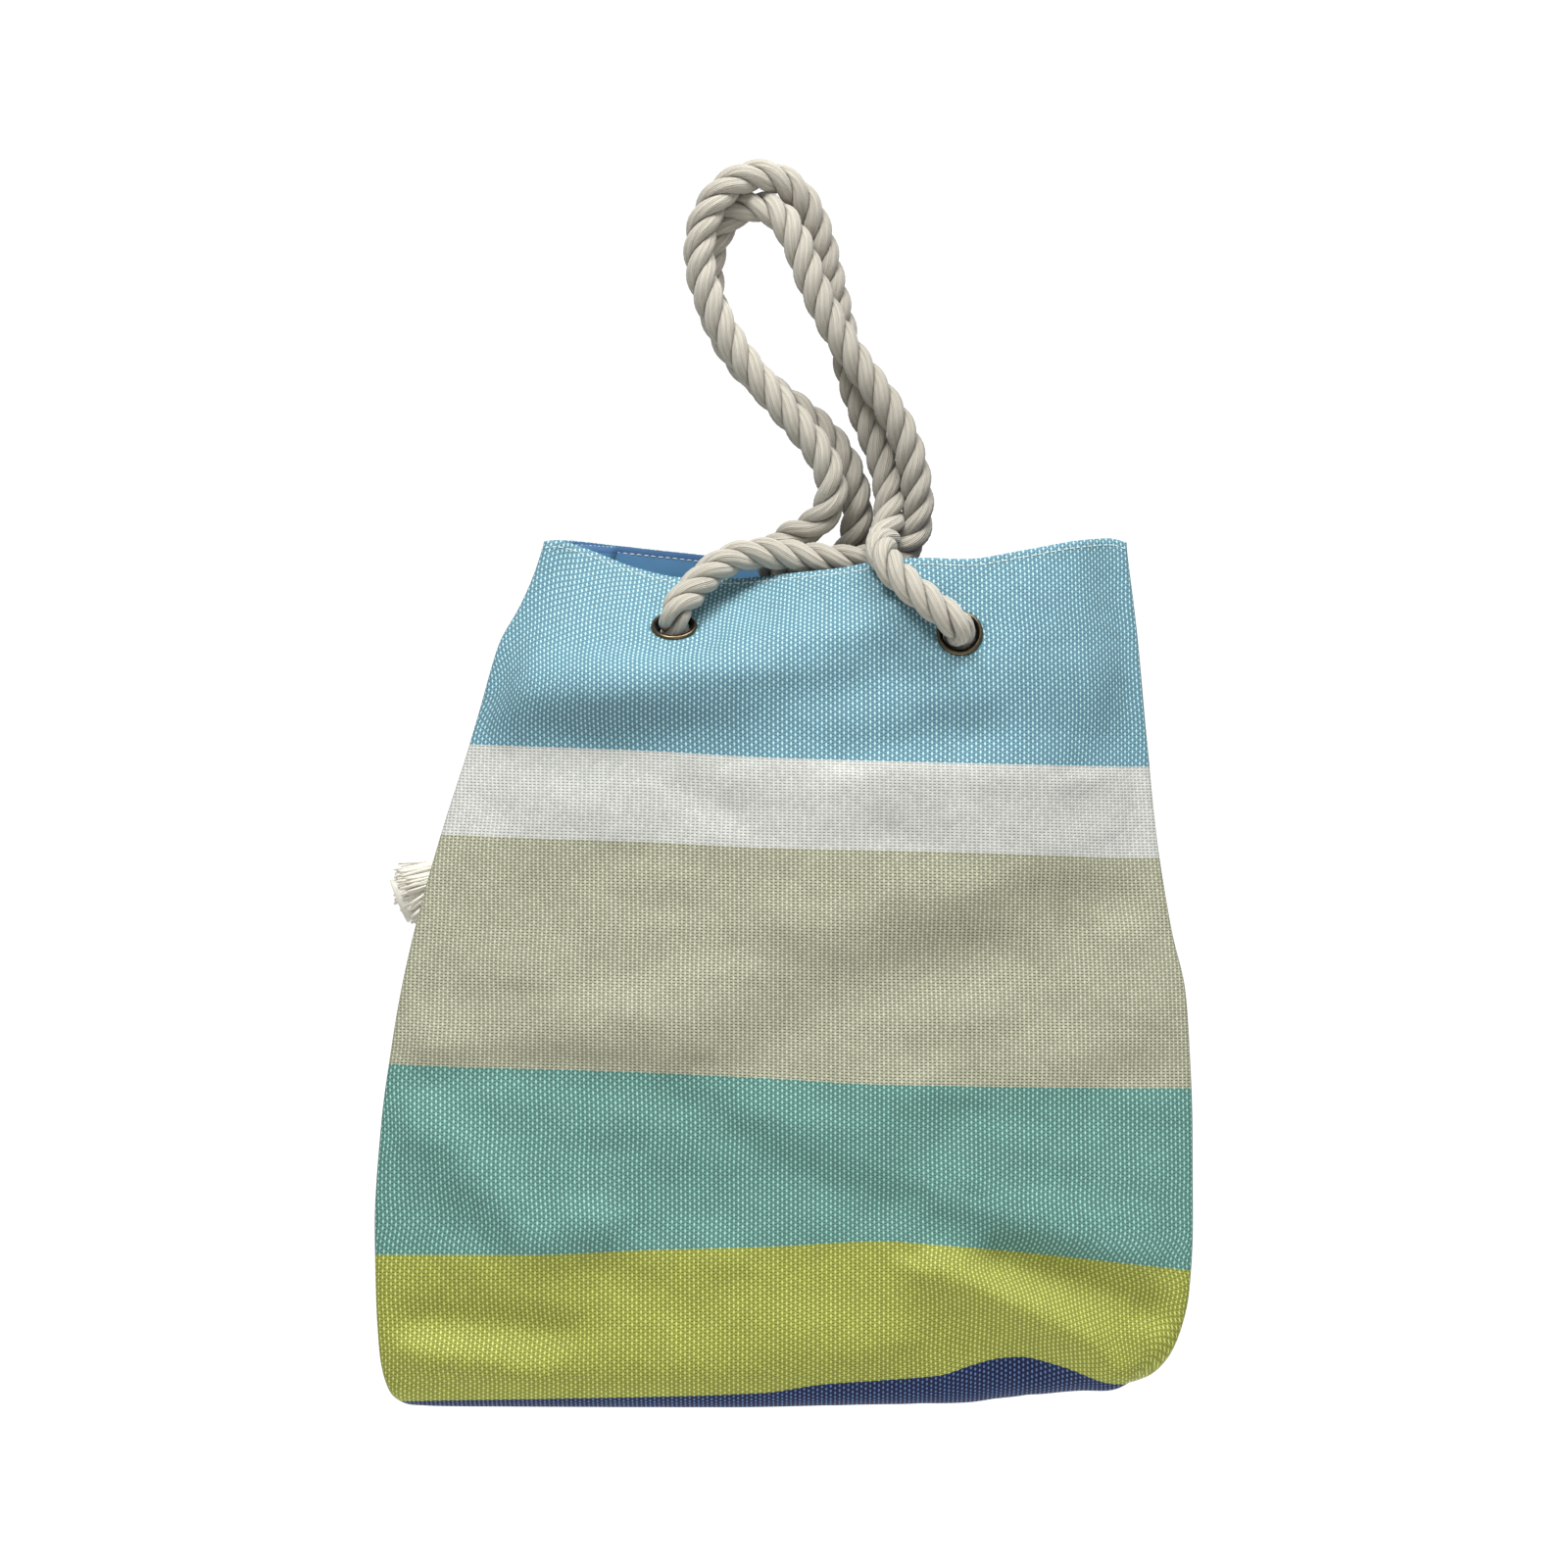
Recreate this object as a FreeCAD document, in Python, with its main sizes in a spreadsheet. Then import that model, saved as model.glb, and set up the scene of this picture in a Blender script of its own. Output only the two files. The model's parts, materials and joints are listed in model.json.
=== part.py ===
import FreeCAD, Part
import math
import os
from FreeCAD import Placement, Rotation, Vector

# Striped beach bag that hangs by its rope. Millimetres. The origin is where the rope lies on its
# hook, +Z is up, +X is to the right and -Y is towards whoever faces the bag.

SIZES = (
    ("mouth_width", 265.0, "mouth, corner to corner"),
    ("belly_width", 368.0, "widest part of the bag"),
    ("foot_width", 340.0, "width just above the base"),
    ("mouth_centre", 35.5, "middle of the mouth, to the right of the hook"),
    ("belly_centre", 14.0, "middle of the belly, to the right of the hook"),
    ("rim_drop", 141.0, "from the hook down to the rim's corners"),
    ("bag_height", 390.0, "from the rim's corners to the underside"),
    ("band_height", 59.0, "from the rim's corners to the foot of the eyelet band"),
    ("belly_front", 56.0, "from the hook's plane forward to the front panel"),
    ("belly_back", 48.0, "from the hook's plane back to the back panel"),
    ("back_rim", 30.0, "from the hook's plane back to the back rim"),
    ("left_rim_front", 8.0, "from the hook's plane forward to the rim over the left eyelet"),
    ("right_rim_front", 36.0, "from the hook's plane forward to the rim over the right eyelet"),
    ("left_rim_sag", 16.0, "rim over the left eyelet, below the corners"),
    ("right_rim_sag", 7.0, "rim over the right eyelet, below the corners"),
    ("back_rim_sag", 8.0, "middle of the back rim, below the corners"),
    ("band_setback", 4.0, "foot of the front's eyelet band, behind the belly"),
    ("rim_corner_depth", 10.0, "from the side seam forward or back to the fold at the rim"),
    ("corner_depth", 20.0, "the same at the foot of the eyelet band"),
    ("gusset_left", 32.0, "depth that the left side folds in at the mouth"),
    ("gusset_right", 45.0, "depth that the right side folds in at the mouth"),
    ("cloth", 1.2, "outer cloth"),
    ("lining", 0.6, "lining cloth"),
    ("layer_gap", 0.3, "air between cloth and lining"),
    ("rope_diameter", 14.4, "three-strand rope"),
    ("rope_clearance", 0.3, "gap round the rope in an eyelet"),
    ("joint_gap", 0.4, "gap where one rope stretch turns on the next"),
    ("left_eyelet", -35.2, "left eyelets, across"),
    ("right_eyelet", 92.4, "right eyelets, across"),
    ("left_eyelet_drop", 38.5, "left eyelets, below the rim's corners"),
    ("right_eyelet_drop", 42.0, "right eyelets, below the rim's corners"),
    ("eyelet_bead", 3.0, "width of an eyelet's rolled rim"),
    ("eyelet_wall", 0.5, "wall of an eyelet's barrel"),
    ("eyelet_lip", 1.2, "how far an eyelet's flared end stands out past its barrel"),
    ("washer_width", 2.8, "ring width of an eyelet's washer"),
    ("washer_thick", 0.6, "thickness of an eyelet's washer"),
    ("knot_diameter", 37.0, "stopper knot across"),
    ("knot_length", 25.0, "stopper knot along the rope"),
    ("tassel_width", 26.0, "frayed end across"),
    ("tassel_length", 36.0, "frayed end along the rope"),
)

document = FreeCAD.newDocument("beach_bag")
sheet = document.addObject("Spreadsheet::Sheet", "sizes")
for row, (alias, value, note) in enumerate(SIZES, start=1):
    sheet.set("A%d" % row, note)
    sheet.set("B%d" % row, str(value))
    sheet.setAlias("B%d" % row, alias)
document.recompute()


def size(alias):
    return float(getattr(sheet, alias))


# ---------------------------------------------------------------- cloth walls

rope_radius = size("rope_diameter") / 2
bore_radius = rope_radius + size("rope_clearance")
barrel_radius = bore_radius + size("eyelet_wall")
bead_radius = size("eyelet_bead") / 2
flange_radius = bore_radius + size("eyelet_bead")
stack = size("cloth") + size("layer_gap") + size("lining")
rim_top = -size("rim_drop")
underside = rim_top - size("bag_height")
band_foot = rim_top - size("band_height")
seam_plane = 2.0  # the side seams lie here, front to back
eyelet_margin = 16.0  # half the width of the flat strip round an eyelet
fold_share = 0.92  # depth of the side folds at the base, as a share of the depth in the middle


def lerp(start, end, share):
    return start + (end - start) * share


# The levels of the bag from its rim down. A level's height is a word, or its share of the way from
# the foot of the eyelet band to the underside. The others say how far each size has gone there: the
# width from mouth to belly, the depth from band to belly, the side folds from corner to belly, and
# how much of the sides still folds in.
LEVELS = (
    {"height": "rim", "width": 0.0, "depth": 0.0, "side": 0.0, "fold": 1.0},
    {"height": "band", "width": 0.22, "depth": 0.0, "side": 0.0, "fold": 0.95},
    {"height": 0.18, "width": 0.45, "depth": 0.65, "side": 0.25, "fold": 0.8},
    {"height": 0.48, "width": 0.8, "depth": 0.88, "side": 0.55, "fold": 0.5},
    {"height": 0.75, "width": 1.0, "depth": 1.0, "side": 0.85, "fold": 0.15},
    {"height": "base", "width": 1.0, "depth": 1.0, "side": 1.0, "fold": 0.0},
)


def level_height(level):
    heights = {"rim": rim_top, "band": band_foot, "base": underside + size("cloth")}
    if level["height"] in heights:
        return heights[level["height"]]
    return lerp(band_foot, underside, level["height"])


def level_depths(front, level):
    """Depth of the wall at the left and the right eyelet strip, from the hook's plane."""
    if front and level["height"] == "rim":
        return size("left_rim_front"), size("right_rim_front")
    belly = size("belly_front") if front else size("belly_back")
    band = belly - size("band_setback") if front else size("back_rim")
    depth = lerp(band, belly, level["depth"])
    return depth, depth


def level_sags(front, level):
    """How far the left and the right eyelet strip stand below the level's height."""
    if level["height"] != "rim":
        return 0.0, 0.0
    if front:
        return size("left_rim_sag"), size("right_rim_sag")
    return size("back_rim_sag"), size("back_rim_sag")


def level_sides(level):
    """Left and right edge of the bag at a level."""
    centre = lerp(size("mouth_centre"), size("belly_centre"), level["width"])
    wide = lerp(size("mouth_width"), size("belly_width"), level["width"])
    if level["height"] == "base":
        wide = size("foot_width")
    return centre - wide / 2, centre + wide / 2


def level_outline(front, level):
    """Outline of one wall at one level, seam to seam, as points seen from above with their heights."""
    toward = -1.0 if front else 1.0
    height = level_height(level)
    left, right = level_sides(level)
    left_depth, right_depth = level_depths(front, level)
    left_sag, right_sag = level_sags(front, level)
    belly = size("belly_front") if front else size("belly_back")
    corner_depth = size("rim_corner_depth") if level["height"] == "rim" else size("corner_depth")
    fold_y = seam_plane + toward * lerp(corner_depth, belly * fold_share, level["side"])
    strips = [size(name) + way * eyelet_margin for name in ("left_eyelet", "right_eyelet") for way in (-1, 1)]
    return (
        Vector(left + size("gusset_left") * level["fold"], seam_plane, height),
        Vector(left, fold_y, height),
        Vector(strips[0], toward * left_depth, height - left_sag),
        Vector(strips[1], toward * left_depth, height - left_sag),
        Vector(strips[2], toward * right_depth, height - right_sag),
        Vector(strips[3], toward * right_depth, height - right_sag),
        Vector(right, fold_y, height),
        Vector(right - size("gusset_right") * level["fold"], seam_plane, height),
    )


def inset_outline(points, inset):
    """The same outline moved into the bag by inset. Its two ends slide along the seam plane."""
    flat = [Vector(p.x, p.y, 0.0) for p in points]
    middle = sum(flat, Vector()) * (1.0 / len(flat))
    toward = 1.0 if middle.y < seam_plane else -1.0
    runs = [(flat[k + 1] - flat[k]).normalize() for k in range(len(flat) - 1)]
    normals = [Vector(-run.y, run.x, 0.0) * toward for run in runs]
    moved = []
    for k, point in enumerate(points):
        if k == 0:
            shift = Vector(inset / normals[0].x, 0.0, 0.0)
        elif k == len(points) - 1:
            shift = Vector(inset / normals[-1].x, 0.0, 0.0)
        else:
            both = normals[k - 1] + normals[k]
            shift = both * (inset * 2.0 / both.dot(both))
        moved.append(point + shift)
    return moved


def triangle_faces(corners):
    """A quadrilateral as two flat triangles."""
    a, b, c, d = corners
    return [Part.Face(Part.makePolygon([a, b, c, a])), Part.Face(Part.makePolygon([a, c, d, a]))]


def sheet_solid(outer, inner):
    """A closed sheet between two grids of points with the same rows and columns."""
    faces = []
    rows = len(outer)
    count = len(outer[0])
    for i in range(rows - 1):
        for k in range(count - 1):
            for grid in (outer, inner):
                faces += triangle_faces((grid[i][k], grid[i][k + 1], grid[i + 1][k + 1], grid[i + 1][k]))
        for k in (0, count - 1):
            faces += triangle_faces((outer[i][k], outer[i + 1][k], inner[i + 1][k], inner[i][k]))
    for i in (0, rows - 1):
        for k in range(count - 1):
            faces += triangle_faces((outer[i][k], outer[i][k + 1], inner[i][k + 1], inner[i][k]))
    shell = Part.Shell(faces)
    shell.sewShape()
    solid = Part.Solid(shell)
    if solid.Volume < 0:
        solid.reverse()
    return solid


def wall_sheet(front, outside, inside, lift):
    """One wall from rim to base, between two insets. Its lower edge stands lift above the base."""
    outer = [inset_outline(level_outline(front, level), outside) for level in LEVELS]
    inner = [inset_outline(level_outline(front, level), inside) for level in LEVELS]
    for grid in (outer, inner):
        grid[-1] = [point + Vector(0, 0, lift) for point in grid[-1]]
    return sheet_solid(outer, inner)


def floor_plate(inset, low, thick):
    """The bottom of the bag, as wide as the walls' feet moved in by inset."""
    front = inset_outline(level_outline(True, LEVELS[-1]), inset)
    back = inset_outline(level_outline(False, LEVELS[-1]), inset)
    ring = front + back[::-1][1:-1]
    ring = [Vector(point.x, point.y, low) for point in ring]
    face = Part.Face(Part.makePolygon(ring + [ring[0]]))
    return face.extrude(Vector(0, 0, thick))


# ---------------------------------------------------------------- eyelet places


def eyelet_frame(front, left):
    """Centre of an eyelet on the outer cloth, and the way that it faces."""
    rim = level_outline(front, LEVELS[0])
    foot = level_outline(front, LEVELS[1])
    column = 2 if left else 4
    across = size("left_eyelet") if left else size("right_eyelet")
    drop = size("left_eyelet_drop") if left else size("right_eyelet_drop")
    top = rim[column]
    low = foot[column]
    height = rim_top - drop
    depth = lerp(low.y, top.y, (height - low.z) / (top.z - low.z))
    rise = Vector(0, top.y - low.y, top.z - low.z).normalize()
    facing = Vector(0, -rise.z, rise.y) if front else Vector(0, rise.z, -rise.y)
    return Vector(across, depth, height), facing


EYELETS = {
    "front_left": eyelet_frame(True, True),
    "front_right": eyelet_frame(True, False),
    "back_left": eyelet_frame(False, True),
    "back_right": eyelet_frame(False, False),
}


def cylinder_between(centre, facing, start, end, radius):
    return Part.makeCylinder(radius, end - start, centre + facing * start, facing)


def with_eyelet_holes(shape, side):
    """Cuts the two holes that the barrels pass through."""
    reach = 4 * stack  # well past both faces of the wall
    for name in (side + "_left", side + "_right"):
        centre, facing = EYELETS[name]
        shape = shape.cut(cylinder_between(centre, facing, -reach, reach, barrel_radius))
    return shape.removeSplitter()


def keep(label, shape):
    part = document.addObject("Part::Feature", label)
    part.Label = label
    part.Shape = shape
    part.Placement = Placement()
    return part


parts = []
lining_out = size("cloth") + size("layer_gap")
for side, front in (("front", True), ("back", False)):
    panel = wall_sheet(front, 0.0, size("cloth"), 0.0)
    parts.append(keep(side + "_panel", with_eyelet_holes(panel, side)))
    liner = wall_sheet(front, lining_out, stack, size("layer_gap") + size("lining"))
    parts.append(keep(side + "_lining", with_eyelet_holes(liner, side)))
parts.append(keep("base_panel", floor_plate(0.0, underside, size("cloth"))))
floor_low = underside + size("cloth") + size("layer_gap")
parts.append(keep("base_lining", floor_plate(lining_out, floor_low, size("lining"))))


# ---------------------------------------------------------------- eyelets and washers

ROPE = "(sizes.rope_diameter / 2 + sizes.rope_clearance)"
BARREL = "(sizes.rope_diameter / 2 + sizes.rope_clearance + sizes.eyelet_wall)"


def tube(name, outer, inner, low, tall):
    """A ring about local Z from low, tall high, each size an expression."""
    pieces = []
    for suffix, radius in (("_solid", outer), ("_core", inner)):
        cylinder = document.addObject("Part::Cylinder", name + suffix)
        cylinder.setExpression("Radius", radius)
        cylinder.setExpression("Height", tall)
        cylinder.setExpression("Placement.Base.z", low)
        pieces.append(cylinder)
    ring = document.addObject("Part::Cut", name)
    ring.Base, ring.Tool = pieces
    return ring


def eyelet_placement(name):
    centre, facing = EYELETS[name]
    return Placement(centre, Rotation(Vector(0, 0, 1), facing))


for name in EYELETS:
    placement = eyelet_placement(name)
    lean = abs(EYELETS[name][1].y)
    layers = "(sizes.cloth + sizes.layer_gap + sizes.lining) * %r" % lean
    back = "-(%s + sizes.washer_thick)" % layers
    end = "-(%s + sizes.washer_thick + sizes.eyelet_wall)" % layers
    bead = document.addObject("Part::Torus", name + "_bead")
    bead.setExpression("Radius1", ROPE + " + sizes.eyelet_bead / 2")
    bead.setExpression("Radius2", "sizes.eyelet_bead / 2")
    above = document.addObject("Part::Cylinder", name + "_above")
    above.setExpression("Radius", ROPE + " + 2 * sizes.eyelet_bead")
    above.setExpression("Height", "sizes.eyelet_bead")
    half_bead = document.addObject("Part::Common", name + "_half_bead")
    half_bead.Base = bead
    half_bead.Tool = above
    barrel = tube(name + "_barrel", BARREL, ROPE, end, "%s + sizes.washer_thick + sizes.eyelet_wall"
                  " + sizes.eyelet_bead / 4" % layers)
    lip = tube(name + "_lip", BARREL + " + sizes.eyelet_lip", ROPE, end, "sizes.eyelet_wall")
    eyelet = document.addObject("Part::MultiFuse", name + "_eyelet")
    eyelet.Label = name + "_eyelet"
    eyelet.Shapes = [half_bead, barrel, lip]
    eyelet.Placement = placement
    washer = tube(name + "_washer", BARREL + " + sizes.washer_width", BARREL, back,
                  "sizes.washer_thick")
    washer.Label = name + "_washer"
    washer.Placement = placement
    parts += [eyelet, washer]


# ---------------------------------------------------------------- rope

BEND_SHARE = 0.45  # share of the shorter run that a bend takes up on each side of its corner


def rope_wire(name, route):
    """Straight runs joined by tangent arcs through a route. Prints the tightest bend."""
    edges = []
    radii = []
    start = route[0]
    for k in range(1, len(route) - 1):
        before = route[k] - route[k - 1]
        after = route[k + 1] - route[k]
        trim = BEND_SHARE * min(before.Length, after.Length)
        turn = before.getAngle(after)
        entry = route[k] - Vector(before).normalize() * trim
        leave = route[k] + Vector(after).normalize() * trim
        radius = trim / math.tan(turn / 2)
        inward = ((entry + leave) * 0.5 - route[k]).normalize()
        middle = route[k] + inward * (radius / math.cos(turn / 2) - radius)
        edges.append(Part.LineSegment(start, entry).toShape())
        edges.append(Part.Arc(entry, middle, leave).toShape())
        radii.append(radius)
        start = leave
    edges.append(Part.LineSegment(start, route[-1]).toShape())
    wire = Part.Wire(edges)
    print("%s: %.0f mm long, bend radii %s" % (name, wire.Length, " ".join("%.0f" % r for r in radii)))
    return wire


def rope_solid(name, route):
    wire = rope_wire(name, route)
    ahead = (route[1] - route[0]).normalize()
    ring = Part.Wire(Part.Circle(route[0], ahead, rope_radius).toShape())
    solid = wire.makePipeShell([ring], True, False)
    wanted = math.pi * rope_radius ** 2 * wire.Length
    print("%s: volume %.4f of section times length" % (name, solid.Volume / wanted))
    return solid


def rounded_end(solid, place):
    return solid.fuse(Part.makeSphere(rope_radius, place))


exit_height = bead_radius + size("joint_gap")
pivot_height = exit_height + size("joint_gap") + rope_radius


def pivot(name):
    centre, facing = EYELETS[name]
    return centre + facing * pivot_height


left_pivot = pivot("front_left")
right_pivot = pivot("front_right")

# From the left front eyelet over the rim, up and twice round the hook, and down to the right one.
HANDLE_ROUTE = (
    (-27.5, -29.0, -163.5),
    (-18.5, -21.0, -153.5),
    (-8.5, -16.0, -147.5),
    (3.0, -14.0, -145.4),
    (15.0, -13.0, -146.4),
    (29.0, -12.5, -148.2),
    (43.0, -12.0, -149.2),
    (57.0, -10.0, -148.5),
    (68.5, -7.5, -145.0),
    (74.5, -4.5, -136.0),
    (75.5, -3.0, -123.0),
    (73.5, -3.0, -107.5),
    (68.6, -5.0, -92.0),
    (61.5, -7.0, -79.0),
    (52.0, -8.5, -66.0),
    (42.0, -9.3, -52.0),
    (33.5, -9.3, -37.5),
    (26.0, -8.3, -22.0),
    (19.0, -6.5, -7.0),
    (11.0, -3.0, 4.5),
    (0.5, 1.5, 8.4),
    (-10.0, 6.0, 4.5),
    (-17.5, 9.0, -6.0),
    (-20.5, 10.5, -19.5),
    (-18.5, 10.8, -34.0),
    (-12.3, 10.5, -48.0),
    (-3.0, 10.0, -61.0),
    (9.5, 9.3, -71.5),
    (23.0, 8.3, -81.0),
    (34.5, 6.5, -91.5),
    (43.0, 5.0, -104.5),
    (47.3, 4.0, -119.0),
    (47.6, 4.5, -133.5),
    (43.0, 7.5, -146.5),
    (33.0, 9.5, -155.0),
    (20.0, 10.0, -158.0),
    (9.0, 8.5, -154.0),
    (4.5, 5.5, -146.5),
    (7.5, 1.5, -139.5),
    (16.0, -3.0, -134.5),
    (26.5, -6.5, -131.0),
    (34.0, -8.5, -122.5),
    (35.5, -9.0, -111.5),
    (29.5, -8.5, -98.5),
    (19.5, -7.8, -86.0),
    (8.0, -7.2, -73.0),
    (-3.5, -7.0, -59.5),
    (-13.0, -7.0, -45.0),
    (-20.0, -7.0, -29.0),
    (-23.3, -6.7, -13.0),
    (-21.3, -7.2, 2.0),
    (-12.8, -6.4, 16.8),
    (0.5, -3.5, 23.3),
    (14.0, -0.5, 21.0),
    (24.0, 4.0, 11.0),
    (30.0, 7.0, -3.0),
    (34.5, 8.2, -18.5),
    (38.5, 8.2, -34.5),
    (41.5, 7.5, -51.0),
    (43.5, 5.5, -67.0),
    (47.6, 2.0, -82.5),
    (54.5, -4.0, -97.5),
    (59.5, -9.5, -112.0),
    (61.5, -15.5, -124.5),
    (59.5, -23.5, -134.5),
    (57.3, -33.0, -140.5),
    (59.0, -41.8, -148.5),
    (66.5, -48.5, -158.0),
    (78.5, -53.5, -169.0),
)


straight_in = 17.0  # how far an inner run keeps its eyelet's direction
inner_sag = 15.0  # how far an inner run hangs down in its middle


def inner_route(side):
    """From just outside a front eyelet, through the bag and out of the back eyelet to its knot."""
    front_centre, front_facing = EYELETS["front_" + side]
    back_centre, back_facing = EYELETS["back_" + side]
    middle = lerp(front_centre, back_centre, 0.5)
    return (
        front_centre + front_facing * exit_height,
        front_centre - front_facing * straight_in,
        Vector(middle.x, middle.y, front_centre.z - inner_sag),
        back_centre - back_facing * straight_in,
        back_centre + back_facing * exit_height,
    )


def knot_centre(side):
    centre, facing = EYELETS["back_" + side]
    return centre + facing * (exit_height + size("knot_length") / 2)


def tail_route(side, steps):
    """A tail that starts at the edge of its knot and passes through steps from the knot's middle."""
    centre = knot_centre(side)
    first = Vector(*steps[0])
    begin = Vector(first.x, 0, first.z).normalize() * (size("knot_diameter") / 2 + size("joint_gap"))
    return [centre + begin] + [centre + Vector(*step) for step in steps]


LEFT_STEPS = ((-23.0, 2.0, -31.0), (-40.0, 7.0, -56.0), (-63.0, 12.0, -80.0), (-92.0, 16.0, -100.0))
RIGHT_STEPS = ((4.0, 2.0, -42.0), (6.5, 7.0, -70.0), (6.0, 11.5, -98.0), (3.0, 15.0, -124.0))


knot_taper = 0.62  # radius of a knot's ends, as a share of its middle


def knot_solid(side):
    """A round stopper knot, widest at its middle."""
    centre = knot_centre(side)
    half = size("knot_length") / 2
    radius = size("knot_diameter") / 2
    waist = radius * knot_taper
    top = Part.makeCone(radius, waist, half, centre, Vector(0, 1, 0))
    bottom = Part.makeCone(radius, waist, half, centre, Vector(0, -1, 0))
    return top.fuse(bottom).removeSplitter()


def tassel_solid(route):
    """The frayed end that carries on from a tail."""
    ahead = (route[-1] - route[-2]).normalize()
    return Part.makeCone(rope_radius, size("tassel_width") / 2, size("tassel_length"), route[-1], ahead)


handle_route = [left_pivot] + [Vector(*point) for point in HANDLE_ROUTE] + [right_pivot]
handle = rope_solid("rope_handle", handle_route)
for place in (left_pivot, right_pivot):
    handle = rounded_end(handle, place)
parts.append(keep("rope_handle", handle))

for side, steps in (("left", LEFT_STEPS), ("right", RIGHT_STEPS)):
    inner = "rope_inner_" + side
    parts.append(keep(inner, rope_solid(inner, inner_route(side))))
    parts.append(keep(side + "_knot", knot_solid(side)))
    tail = side + "_rope_tail"
    route = tail_route(side, steps)
    parts.append(keep(tail, rope_solid(tail, route)))
    parts.append(keep(side + "_tassel", tassel_solid(route)))


# ---------------------------------------------------------------- check and write

document.recompute()
for item in document.Objects:
    if "Invalid" in item.State or "Error" in item.State:
        raise RuntimeError("%s failed" % item.Label)
for part in parts:
    shape = part.Shape
    if shape.isNull() or not shape.isValid():
        raise RuntimeError("%s has no valid shape" % part.Label)

os.makedirs("parts", exist_ok=True)
for part in parts:
    part.Shape.exportStep("parts/%s.step" % part.Label)
    box = part.Shape.BoundBox
    print("%-22s %d solid(s) %8.1f cm3  x %.0f..%.0f y %.0f..%.0f z %.0f..%.0f" % (
        part.Label, len(part.Shape.Solids), part.Shape.Volume / 1000,
        box.XMin, box.XMax, box.YMin, box.YMax, box.ZMin, box.ZMax))
for name, (centre, facing) in EYELETS.items():
    print(name, "centre", centre, "faces", facing)
print("pivots", left_pivot, right_pivot)
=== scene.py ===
import json
import math
import random

import bmesh
import bpy
import numpy as np
from mathutils import Matrix, Vector, noise


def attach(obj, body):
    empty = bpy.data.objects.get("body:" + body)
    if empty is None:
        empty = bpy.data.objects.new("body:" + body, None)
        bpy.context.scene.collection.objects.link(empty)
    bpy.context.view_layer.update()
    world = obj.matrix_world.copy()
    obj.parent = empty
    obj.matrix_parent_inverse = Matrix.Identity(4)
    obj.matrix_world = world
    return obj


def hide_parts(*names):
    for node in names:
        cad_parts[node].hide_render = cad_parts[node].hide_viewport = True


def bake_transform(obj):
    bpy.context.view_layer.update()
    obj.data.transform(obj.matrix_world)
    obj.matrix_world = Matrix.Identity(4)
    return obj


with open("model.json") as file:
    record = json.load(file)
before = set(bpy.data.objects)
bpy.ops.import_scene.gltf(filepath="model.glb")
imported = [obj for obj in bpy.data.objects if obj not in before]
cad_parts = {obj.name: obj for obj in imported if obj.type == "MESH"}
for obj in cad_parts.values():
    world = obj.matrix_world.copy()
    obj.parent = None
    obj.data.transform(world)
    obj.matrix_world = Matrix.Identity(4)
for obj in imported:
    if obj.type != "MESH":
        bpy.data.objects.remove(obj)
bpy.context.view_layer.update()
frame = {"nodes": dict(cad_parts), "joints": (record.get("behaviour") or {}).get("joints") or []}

# Striped beach bag that hangs by its doubled rope. Lengths in the dictionaries are millimetres.
mm = 0.001


def through(places, table):  # smooth curve through a table of (place, value), held past its ends
    xs = np.array([float(row[0]) for row in table])
    ys = np.array([float(row[1]) for row in table])
    if xs[0] > xs[-1]:
        xs, ys = xs[::-1], ys[::-1]
    gaps = np.diff(xs)
    rises = np.diff(ys) / gaps
    slopes = np.zeros(len(xs))
    same = rises[:-1] * rises[1:] > 0
    slopes[1:-1][same] = (2 * rises[:-1] * rises[1:] / (rises[:-1] + rises[1:] + 1e-12))[same]
    slopes[0], slopes[-1] = rises[0], rises[-1]
    x = np.clip(places, xs[0], xs[-1])
    k = np.clip(np.searchsorted(xs, x) - 1, 0, len(gaps) - 1)
    t = (x - xs[k]) / gaps[k]
    a = ys[k] * (1 + 2 * t) * (1 - t) ** 2 + slopes[k] * gaps[k] * t * (1 - t) ** 2
    return a + ys[k + 1] * t * t * (3 - 2 * t) - slopes[k + 1] * gaps[k] * t * t * (1 - t)


def smoothStep(value, low, high):
    t = np.clip((value - low) / (high - low), 0, 1)
    return t * t * (3 - 2 * t)


def give(tree, value, socket):  # links another socket, or sets a plain value
    if isinstance(value, bpy.types.NodeSocket):
        tree.links.new(value, socket)
    else:
        socket.default_value = value


def addNode(tree, kind, **inputs):
    node = tree.nodes.new(kind)
    for name, value in inputs.items():
        give(tree, value, node.inputs[name.replace("_", " ")])
    return node


def mathNode(tree, operation, *values, clamp=False):
    node = tree.nodes.new("ShaderNodeMath")
    node.operation = operation
    node.use_clamp = clamp
    for value, socket in zip(values, node.inputs):
        give(tree, value, socket)
    return node.outputs[0]


def times(tree, first, second):
    return mathNode(tree, "MULTIPLY", first, second)


def scaled(tree, value, by, plus):  # value times by, with plus added
    return mathNode(tree, "MULTIPLY_ADD", value, by, plus)


def minus(tree, first, second):
    return mathNode(tree, "SUBTRACT", first, second)


def mixColour(tree, factor, first, second, blend="MIX"):
    node = tree.nodes.new("ShaderNodeMix")
    node.data_type = "RGBA"
    node.blend_type = blend
    for k, value in ((0, factor), (6, first), (7, second)):
        give(tree, value, node.inputs[k])
    return node.outputs[2]


def stepMask(tree, value, low, high):
    node = addNode(tree, "ShaderNodeMapRange", Value=value, From_Min=low, From_Max=high)
    node.interpolation_type = "SMOOTHSTEP"
    return node.outputs["Result"]


def noiseFac(tree, where, scale, detail, rough=0.5):
    return addNode(tree, "ShaderNodeTexNoise", Scale=scale, Detail=detail, Roughness=rough,
                   Vector=where).outputs["Fac"]


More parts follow.
